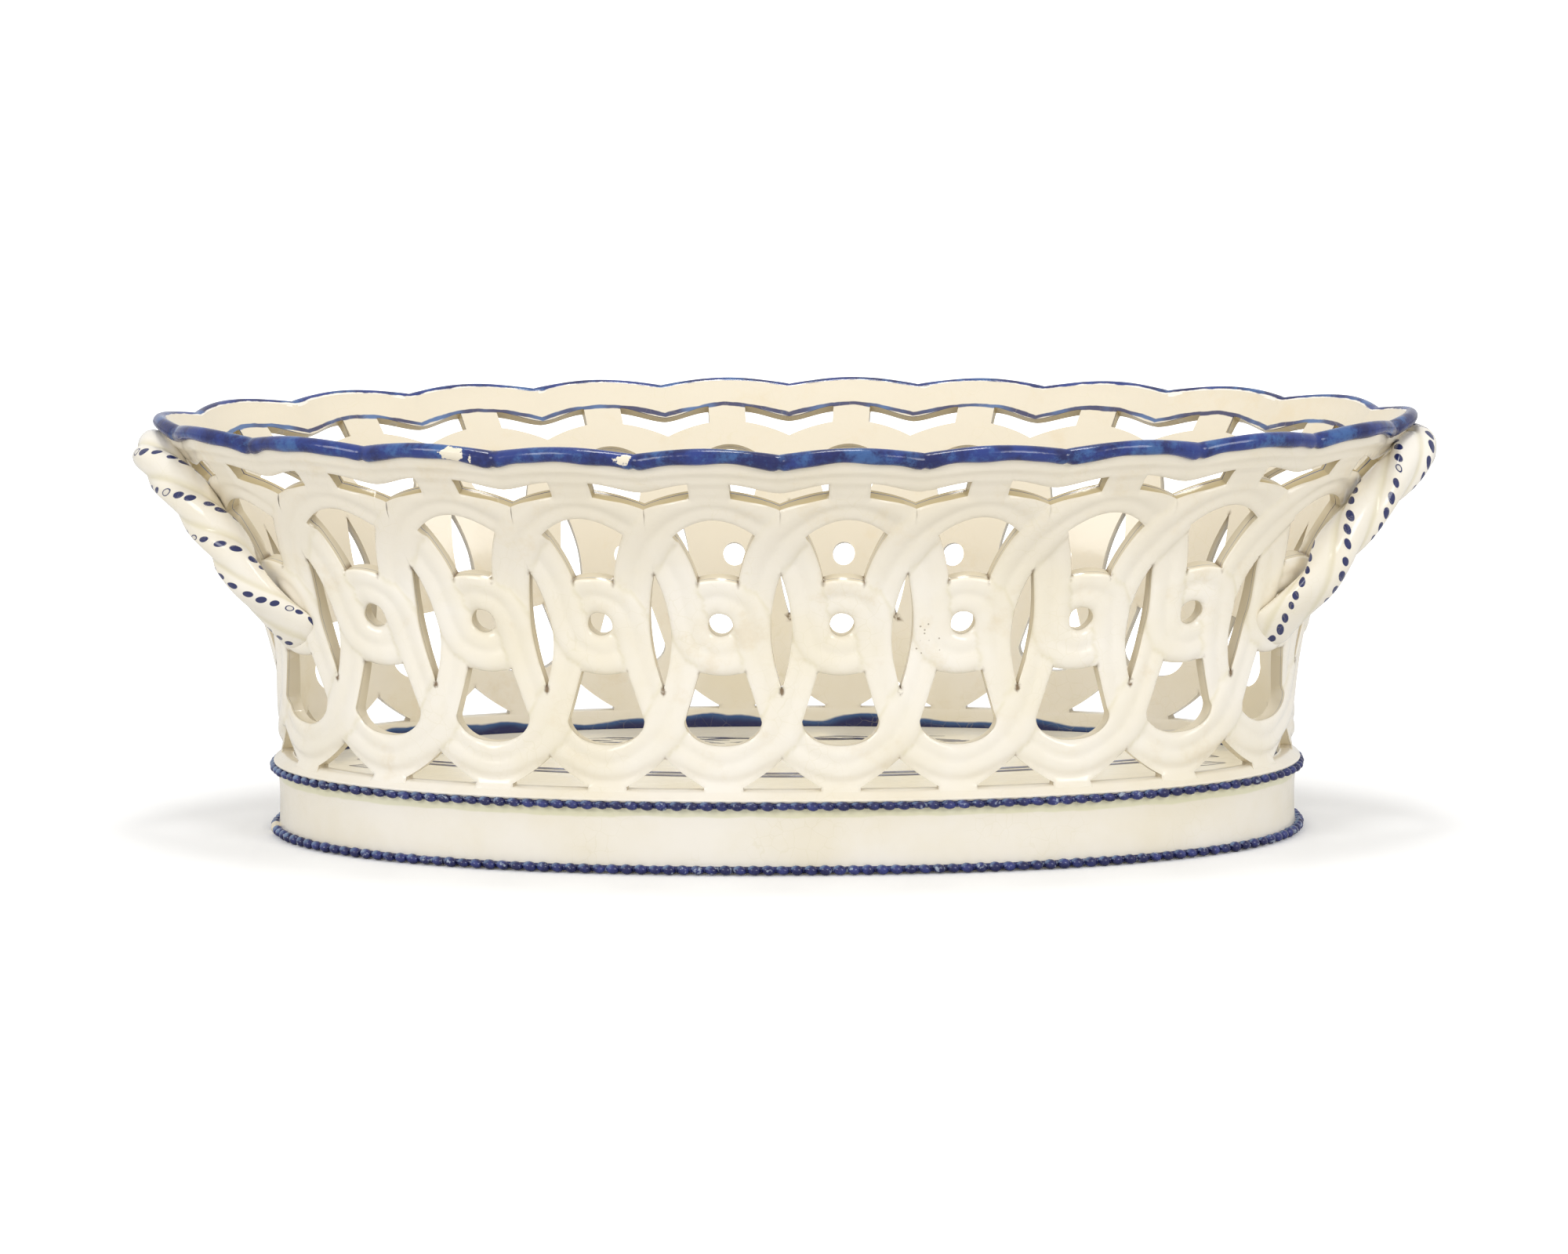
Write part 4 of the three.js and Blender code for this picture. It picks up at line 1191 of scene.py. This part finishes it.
class Finish(Surface):
    """A glazed finish in the making: its material, the old glaze, and the colour under that glaze."""

    def __init__(self, name, glaze, colour, warm, specks=0.035, gloss=0.13, bump=0.5):
        self.material, tree, self.shader = new_material(name, colour, gloss)
        super().__init__(tree)
        old = add(tree, "ShaderNodeGroup", {"Speck Amount": specks, "Gloss": gloss}, node_tree=glaze).outputs
        self.craze, self.speck = Flow(tree, old["Craze"]), Flow(tree, old["Speck"])
        self.base = Flow(tree, old["Tone"]).blend(colour, warm)
        raised = add(tree, "ShaderNodeBump", {"Strength": bump, "Distance": BUMP_HEIGHT * MM,
                                              "Height": old["Height"]})
        tree.links.new(raised.outputs[0], self.shader.inputs["Normal"])
        tree.links.new(old["Roughness"], self.shader.inputs["Roughness"])

    def chip(self, colour, spot, ragged, start, end):
        """Bare clay round a spot. The edge fades between start and end past the spot's radius."""
        *place, radius = spot
        far = self.gap_to(*place) + ragged
        return far.fade(radius + start, radius + end, 1.0, 0.0).blend(colour, BISCUIT)

    def painted(self, colour):
        """The material with this colour."""
        self.tree.links.new(colour.socket, self.shader.inputs["Base Color"])
        return self.material

    def aged(self, colour):
        """The material with this colour under crazing and specks."""
        crazed = (self.craze * CRAZE_STRENGTH).blend(colour, POOLED_GLAZE)
        return self.painted((self.speck * SPECK_STRENGTH).blend(crazed, SPECK))


# How much of each glaze, painted shade or stain the wall shows at most
POOL_AMOUNT = 0.3
SHADE_AMOUNT = 0.65
CLOUD_AMOUNT = 0.4
DIRT_AMOUNT = 0.9
GRIT_AMOUNT = 0.6
# Heights where painted shade darkens the top outside and inside, and grows on the cut sides under the collar
SHADE_HEIGHTS = (62.0, 80.0)
SHADE_WAVER = 12.0
INNER_SHADE_HEIGHTS = (30.0, 60.0)
CUT_SHADE_HEIGHTS = (70.0, 78.0)
LOW_CUT_SHADE = 0.6
# Places where grit shows in the glaze, with the reach of each, its cells for a metre, the share of
# them with grit at the middle of a patch, and the share of a cell where a grain starts and ends to fade
GRIT_PATCHES = [(29.0, -57.0, 47.0, 9.0), (-9.0, -57.0, 36.0, 7.0), (-37.0, -57.0, 66.0, 7.0)]
GRIT_CELLS = 1100.0
GRIT_SHARE = 0.55
GRAIN_EDGE = (0.16, 0.3)
LINE_HALF_WIDTH = 0.18
LINE_SWELL = 0.45
LINE_WAVER = 0.9
LINE_AMOUNT = 0.92


def wall_finish(glaze):
    finish = Finish("creamware_wall_glaze", glaze, IVORY, IVORY_WARM)
    height = finish.height()
    colour = (finish.number("pool") * POOL_AMOUNT).blend(finish.base, POOLED_GLAZE)
    # Painted shade, darker and warmer towards the flared top outside, and on the inside above its middle
    # height
    upper_shade = (height + finish.noise(30.0) * SHADE_WAVER).fade(*SHADE_HEIGHTS, 0.0, SHADE_AMOUNT)
    inner = finish.number("inner") * height.fade(*INNER_SHADE_HEIGHTS)
    colour = upper_shade.math("MAXIMUM", inner).blend(colour, SHADED_IVORY)
    clouds = finish.noise(75.0, 6.0, 0.68).fade(0.54, 0.74, 0.0, CLOUD_AMOUNT)
    colour = clouds.blend(colour, AGED_GLAZE)
    # Painted shade on the cut sides of the openings, strongest under the collar, over their glaze colour
    cut = finish.number("cut") * height.fade(*CUT_SHADE_HEIGHTS, LOW_CUT_SHADE, 1.0)
    colour = cut.blend(colour, CUT_SIDE_SHADE)
    dirt = finish.number("stain").fade(0.15, 0.75) * finish.noise(640.0, 4.0, 0.6).fade(0.34, 0.56)
    colour = (dirt * DIRT_AMOUNT).blend(colour, STAIN)
    blue = finish.noise(120.0).fade(0.3, 0.6).blend(COBALT_LIGHT, COBALT_DARK)
    colour = painted_line(finish).blend(colour, blue)
    gap, chance = finish.cells(GRIT_CELLS)
    grains = gap.fade(*GRAIN_EDGE, 1.0, 0.0)
    for *place, reach in GRIT_PATCHES:
        near = finish.gap_to(*place).fade(0.1 * reach, reach, GRIT_SHARE, 0.0)
        colour = (grains * chance.math("LESS_THAN", near) * GRIT_AMOUNT).blend(colour, SPECK)
    return finish.aged(colour)


def painted_line(finish):
    """Where the brush went over the openings, on the inside."""
    waver = (finish.noise(160.0, 3.0) - 0.5) * LINE_WAVER
    gap = (finish.number("line_gap") + waver).math("ABSOLUTE")
    width = finish.noise(90.0) * LINE_SWELL + LINE_HALF_WIDTH
    return (gap - width).fade(-0.08, 0.12, LINE_AMOUNT, 0.0)


# Heights on the foot: where the glaze pooled under the upper beads starts and is full, and where it
# thins and ends; the soft top of the blue line inside, and where its blue turns paler upwards
POOL_START = (12.4, 12.9)
POOL_END = (14.2, 15.2)
UNDER_BEAD_AMOUNT = 0.45
BAND_TOP = (14.6, 15.1)
BAND_PALING = (13.2, 15.0)
PALE_AMOUNT = 0.8
# How far the paint runs down, and how much wider the blue line is in places
DRIP = 1.4
BAND_SWELL = 2.2


def foot_finish(glaze):
    """Glaze pooled under the upper beads outside, and the blue line at the wall's foot inside."""
    finish = Finish("creamware_foot_glaze", glaze, IVORY, IVORY_WARM)
    height, inside = finish.height(), finish.number("inside")
    drip = finish.noise(110.0, 3.0) * DRIP
    under_bead = (height + drip).fade(*POOL_START) * height.fade(*POOL_END, 1.0, 0.0) * inside.rest()
    pooled = (under_bead * UNDER_BEAD_AMOUNT).blend(finish.base, UNDER_BEAD)
    swell = finish.noise(42.0).fade(0.35, 0.7) * BAND_SWELL
    reach = height - swell + drip
    band = inside.fade(0.6, 0.9) * reach.fade(*BAND_TOP, 1.0, 0.0)
    blue = reach.fade(*BAND_PALING, 0.0, PALE_AMOUNT).blend(COBALT_DARK, COBALT_LIGHT)
    return finish.aged(band.blend(pooled, blue))


def floor_finish(glaze):
    finish = Finish("creamware_floor_glaze", glaze, FLOOR_CREAM, FLOOR_WARM, 0.05)
    return finish.aged(finish.base)


# Places of the rim's chips, with the radius of each
RIM_CHIPS = [(-66.4, -65.4, 88.2, 3.0), (-31.6, -72.6, 88.0, 1.9), (-63.2, -66.3, 86.4, 1.8)]
CHIP_RAGGED = 4.0
# Where the cream of the inside fades into blue, from -1 on the roll's inner side to 1 on its outer side
INNER_EDGE = (-0.8, -0.65)
PALE_PATCHES = 0.75


def rim_finish(glaze):
    finish = Finish("cobalt_rim_glaze", glaze, COBALT, COBALT_DARK, 0.0, 0.12, 1.4)
    blue = finish.noise(110.0, 5.0, 0.65).fade(0.4, 0.6).blend(COBALT_DARK, COBALT)
    blue = (finish.noise(120.0, 6.0, 0.7).fade(0.48, 0.64) * PALE_PATCHES).blend(blue, COBALT_LIGHT)
    edge = (finish.noise(300.0, 3.0) - 0.5) * 0.5
    inner = (finish.number("outward") + edge).fade(*INNER_EDGE, 1.0, 0.0)
    colour = inner.blend(blue, IVORY)
    ragged = (finish.noise(700.0, 3.0) - 0.5) * CHIP_RAGGED
    for spot in RIM_CHIPS:
        colour = finish.chip(colour, spot, ragged, -0.15, 0.1)
    return finish.painted(colour)


# Place of the lower bead row's chip, with its radius
BEAD_CHIP = (-109.8, -7.0, 0.6, 3.4)
# Painted highlight on each bead's upper-left side, where its blue also lies thin, and how worn its worn spots
# are
LIT_SIDE = (-0.62, -0.18, 0.76)
BEAD_WEAR = 0.75


def bead_finish(glaze):
    finish = Finish("cobalt_bead_glaze", glaze, COBALT, COBALT_DARK, 0.0, 0.16, 0.8)
    normal = add(finish.tree, "ShaderNodeNewGeometry").outputs["Normal"]
    facing = add(finish.tree, "ShaderNodeVectorMath", {0: normal, 1: LIT_SIDE}, operation="DOT_PRODUCT")
    # Painted highlight: each bead is lighter on its upper-left side, partly where its blue lies thinner
    lit_and_thin = Flow(finish.tree, facing.outputs["Value"]).fade(0.6, 0.95) * (finish.number("tone") * 0.5 + 0.4)
    dark = finish.noise(320.0).fade(0.4, 0.75).blend(BEAD_NAVY, BEAD_BLUE)
    worn = finish.noise(520.0, 4.0, 0.6).fade(0.6, 0.68) * BEAD_WEAR
    colour = worn.blend(lit_and_thin.blend(dark, BEAD_LIT_PALE), WORN_BLUE)
    return finish.painted(finish.chip(colour, BEAD_CHIP, finish.noise(600.0, 3.0) * 2.0, 0.0, 0.3))


def brush_finish(glaze):
    finish = Finish("cobalt_brush_strokes", glaze, COBALT, COBALT_DARK, 0.0, 0.16, 0.3)
    return finish.painted(finish.noise(260.0, 4.0).fade(0.42, 0.72).blend(BEAD_NAVY, FAINT_BLUE))


# Dots on the strands: how far apart, how far off their places along and across, radius and how much
# it grows, and their length along the strand as a share of that across it
DOT_SPACING = 2.7
DOT_JITTER = 0.7
DOT_DRIFT = 0.5
DOT_RADIUS = 0.72
DOT_GROWTH = 0.26
DOT_SQUEEZE = 0.82
# Dots whose chance value is over this limit are worn to rings, with this much of the middle gone
WORN_LIMIT = 0.86
WORN_AMOUNT = 0.85
# How far the yellower tone between the strands reaches up each side, and how much of it shows
VALLEY_LOW = 2.2
VALLEY_HIGH = 1.2
VALLEY_AMOUNT = 0.4


def rope_finish(glaze):
    """Cream glaze with a row of blue dots on each strand, some of them worn through."""
    finish = Finish("creamware_rope_glaze", glaze, IVORY, IVORY_WARM, 0.03, 0.1)
    tree = finish.tree
    place = add(tree, "ShaderNodeAttribute", attribute_name="strand_place").outputs["Vector"]
    parts = add(tree, "ShaderNodeSeparateXYZ", {0: place}).outputs
    along, across, strand = (Flow(tree, part) for part in parts)
    cell = (along / DOT_SPACING).math("FLOOR")
    key = add(tree, "ShaderNodeCombineXYZ", {"X": cell, "Y": strand}).outputs[0]
    chance = add(tree, "ShaderNodeTexWhiteNoise", {"Vector": key}, noise_dimensions="3D").outputs
    picks = add(tree, "ShaderNodeSeparateColor", {0: chance["Color"]}).outputs
    shift, drift, growth = (Flow(tree, pick) for pick in picks)
    middle = (cell + 0.5) * DOT_SPACING + (shift - 0.5) * DOT_JITTER
    dx = along - middle
    dy = (across - DOT_PLACE * STRAND_WIDTH - (drift - 0.5) * DOT_DRIFT) * DOT_SQUEEZE
    inside = (dx * dx + dy * dy).math("SQRT") - (growth * DOT_GROWTH + DOT_RADIUS)
    is_worn = Flow(tree, chance["Value"]).math("GREATER_THAN", WORN_LIMIT)
    worn = is_worn * inside.fade(-0.3, -0.2, 1.0, 0.0) * WORN_AMOUNT
    shown = inside.fade(-0.07, 0.09, 1.0, 0.0) * worn.rest()
    # A yellower tone along the valleys between the strands
    low = across.fade(STRAND_WIDTH - VALLEY_LOW, STRAND_WIDTH)
    valley = low.math("MAXIMUM", across.fade(VALLEY_HIGH, 0.0)) * VALLEY_AMOUNT
    return finish.aged(shown.blend(valley.blend(finish.base, POOLED_GLAZE), DOT_BLUE))


# Pieces

glaze = glaze_group()
blue_beads = bead_finish(glaze)
rope_glaze = rope_finish(glaze)
beads = bead_tree()

put(pierced_wall(wall_finish(glaze)), "cream_glaze", "pierced_wall")
put(foot_ring(foot_finish(glaze)), "cream_glaze", "foot_ring")
put(floor_plate(floor_finish(glaze)), "cream_glaze", "floor_plate")
put(floor_painting(brush_finish(glaze)), "blue_glaze")
put(rim_roll(rim_finish(glaze)), "blue_glaze", "rim_roll")
put(bead_core("lower_bead_core", LOWER_BEAD_HEIGHT, blue_beads), "blue_glaze")
put(bead_core("upper_bead_core", UPPER_BEAD_HEIGHT, blue_beads), "blue_glaze")
put(bead_string("lower_beads", beads, LOWER_BEADS, blue_beads), "blue_glaze", "lower_bead_string")
put(bead_string("upper_beads", beads, UPPER_BEADS, blue_beads), "blue_glaze", "upper_bead_string")
for side, turned, twist in (("right", False, RIGHT_TWIST), ("left", True, LEFT_TWIST)):
    nodes = [f"{side}_handle_strand_{i}" for i in (1, 2, 3)]
    nodes += [f"{side}_handle_{end}_terminal" for end in ("front", "back")]
    put(rope_handle(f"{side}_rope_handle", turned, twist, rope_glaze), "cream_glaze", *nodes)


# Floor, light and camera. The floor's and the lamps' places and sizes are in metres.

STAGE_REACH = 9.0
BOUNCE_GREY = (0.72, 0.72, 0.72, 1)
SEEN_GREY = (0.95, 0.95, 0.95, 1)
WHITE = (1, 1, 1, 1)
# The floor turns to plain white between these distances, so that it shows only the shadow by the foot
GLOW_REACH = (0.12, 0.34)
GLOW_START = 0.08
SKY_LEVEL = 0.7
SKY_GLOSS = 0.6
LIGHT_AIM = (0, 0, 0.05)
# Each lamp's place, size and power
LAMPS = {
    "key_light": ((-0.72, -0.85, 0.54), 0.5, 3.6),
    "fill_light": ((0.75, -0.82, 0.52), 0.5, 3.45),
    "top_light": ((0.0, 0.02, 1.1), 0.3, 3.0),
}


def studio_floor():
    mesh = bpy.data.meshes.new("studio_floor")
    corners = [(x * STAGE_REACH, y * STAGE_REACH, 0) for x, y in ((-1, -1), (1, -1), (1, 1), (-1, 1))]
    mesh.from_pydata(corners, [], [(0, 1, 2, 3)])
    material, tree, shader = new_material("studio_white", (0.8, 0.8, 0.8, 1), 0.9)
    seen = Flow(tree, add(tree, "ShaderNodeLightPath").outputs["Is Camera Ray"])
    tree.links.new(seen.blend(BOUNCE_GREY, SEEN_GREY).socket, shader.inputs["Base Color"])
    far = add(tree, "ShaderNodeVectorMath", {0: Surface(tree).place}, operation="LENGTH")
    glow = Flow(tree, far.outputs["Value"]).fade(*GLOW_REACH, GLOW_START, 1.0)
    tree.links.new((seen * glow).socket, shader.inputs["Emission Strength"])
    shader.inputs["Emission Color"].default_value = WHITE
    shader.inputs["Specular IOR Level"].default_value = 0.0
    mesh.materials.append(material)
    placed(bpy.data.objects.new("studio_floor", mesh))


def soft_light(name, place, size, power):
    data = bpy.data.lights.new(name, "AREA")
    data.shape, data.size, data.energy = "DISK", size, power
    lamp = placed(bpy.data.objects.new(name, data))
    lamp.location = place
    lamp.rotation_euler = (Vector(LIGHT_AIM) - Vector(place)).to_track_quat("-Z", "Y").to_euler()


def sky_light():
    """Plain soft light from all round, which the camera sees as white."""
    world = bpy.data.worlds.new("studio_world")
    bpy.context.scene.world = world
    world.use_nodes = True
    tree = world.node_tree
    path = add(tree, "ShaderNodeLightPath").outputs
    seen = (Flow(tree, path["Is Glossy Ray"]) * SKY_GLOSS).math("MAXIMUM", path["Is Camera Ray"])
    level = add(tree, "ShaderNodeMapRange", {"Value": seen, "To Min": SKY_LEVEL, "To Max": 1.0})
    background = tree.nodes["Background"]
    background.inputs["Color"].default_value = WHITE
    tree.links.new(level.outputs["Result"], background.inputs["Strength"])


# The photographer's stand, in millimetres: how far the lens is from the basket's middle, how far it
# looks down, how far the basket is turned, and the small tilt of the picture
CAMERA_DISTANCE = 1094.7
CAMERA_PITCH = 0.1467
CAMERA_YAW = -0.0163
CAMERA_ROLL = -0.0059
AIM_HEIGHT = 43.2
SENSOR_WIDTH = 36.0
PICTURE_WIDTH = 2000
FOCAL_PIXELS = 6493.0
PRINCIPAL_X = 1002.2
CLIP_START = 0.05


def studio_camera():
    data = bpy.data.cameras.new("studio_camera")
    data.sensor_width = SENSOR_WIDTH
    data.lens = SENSOR_WIDTH * FOCAL_PIXELS / PICTURE_WIDTH
    data.shift_x = -(PRINCIPAL_X - PICTURE_WIDTH / 2) / PICTURE_WIDTH
    data.clip_start = CLIP_START
    camera = placed(bpy.data.objects.new("studio_camera", data))
    flat, rise = CAMERA_DISTANCE * math.cos(CAMERA_PITCH), CAMERA_DISTANCE * math.sin(CAMERA_PITCH)
    place = Vector((-flat * math.sin(CAMERA_YAW), -flat * math.cos(CAMERA_YAW), AIM_HEIGHT + rise)) * MM
    turn = (Vector((0, 0, AIM_HEIGHT)) * MM - place).to_track_quat("-Z", "Y")
    camera.location = place
    camera.rotation_mode = "QUATERNION"
    camera.rotation_quaternion = turn @ Euler((0, 0, CAMERA_ROLL)).to_quaternion()
    bpy.context.scene.camera = camera


studio_floor()
sky_light()
for name, (place, size, power) in LAMPS.items():
    soft_light(name, place, size, power)
studio_camera()
bpy.context.scene.view_settings.view_transform = "Standard"
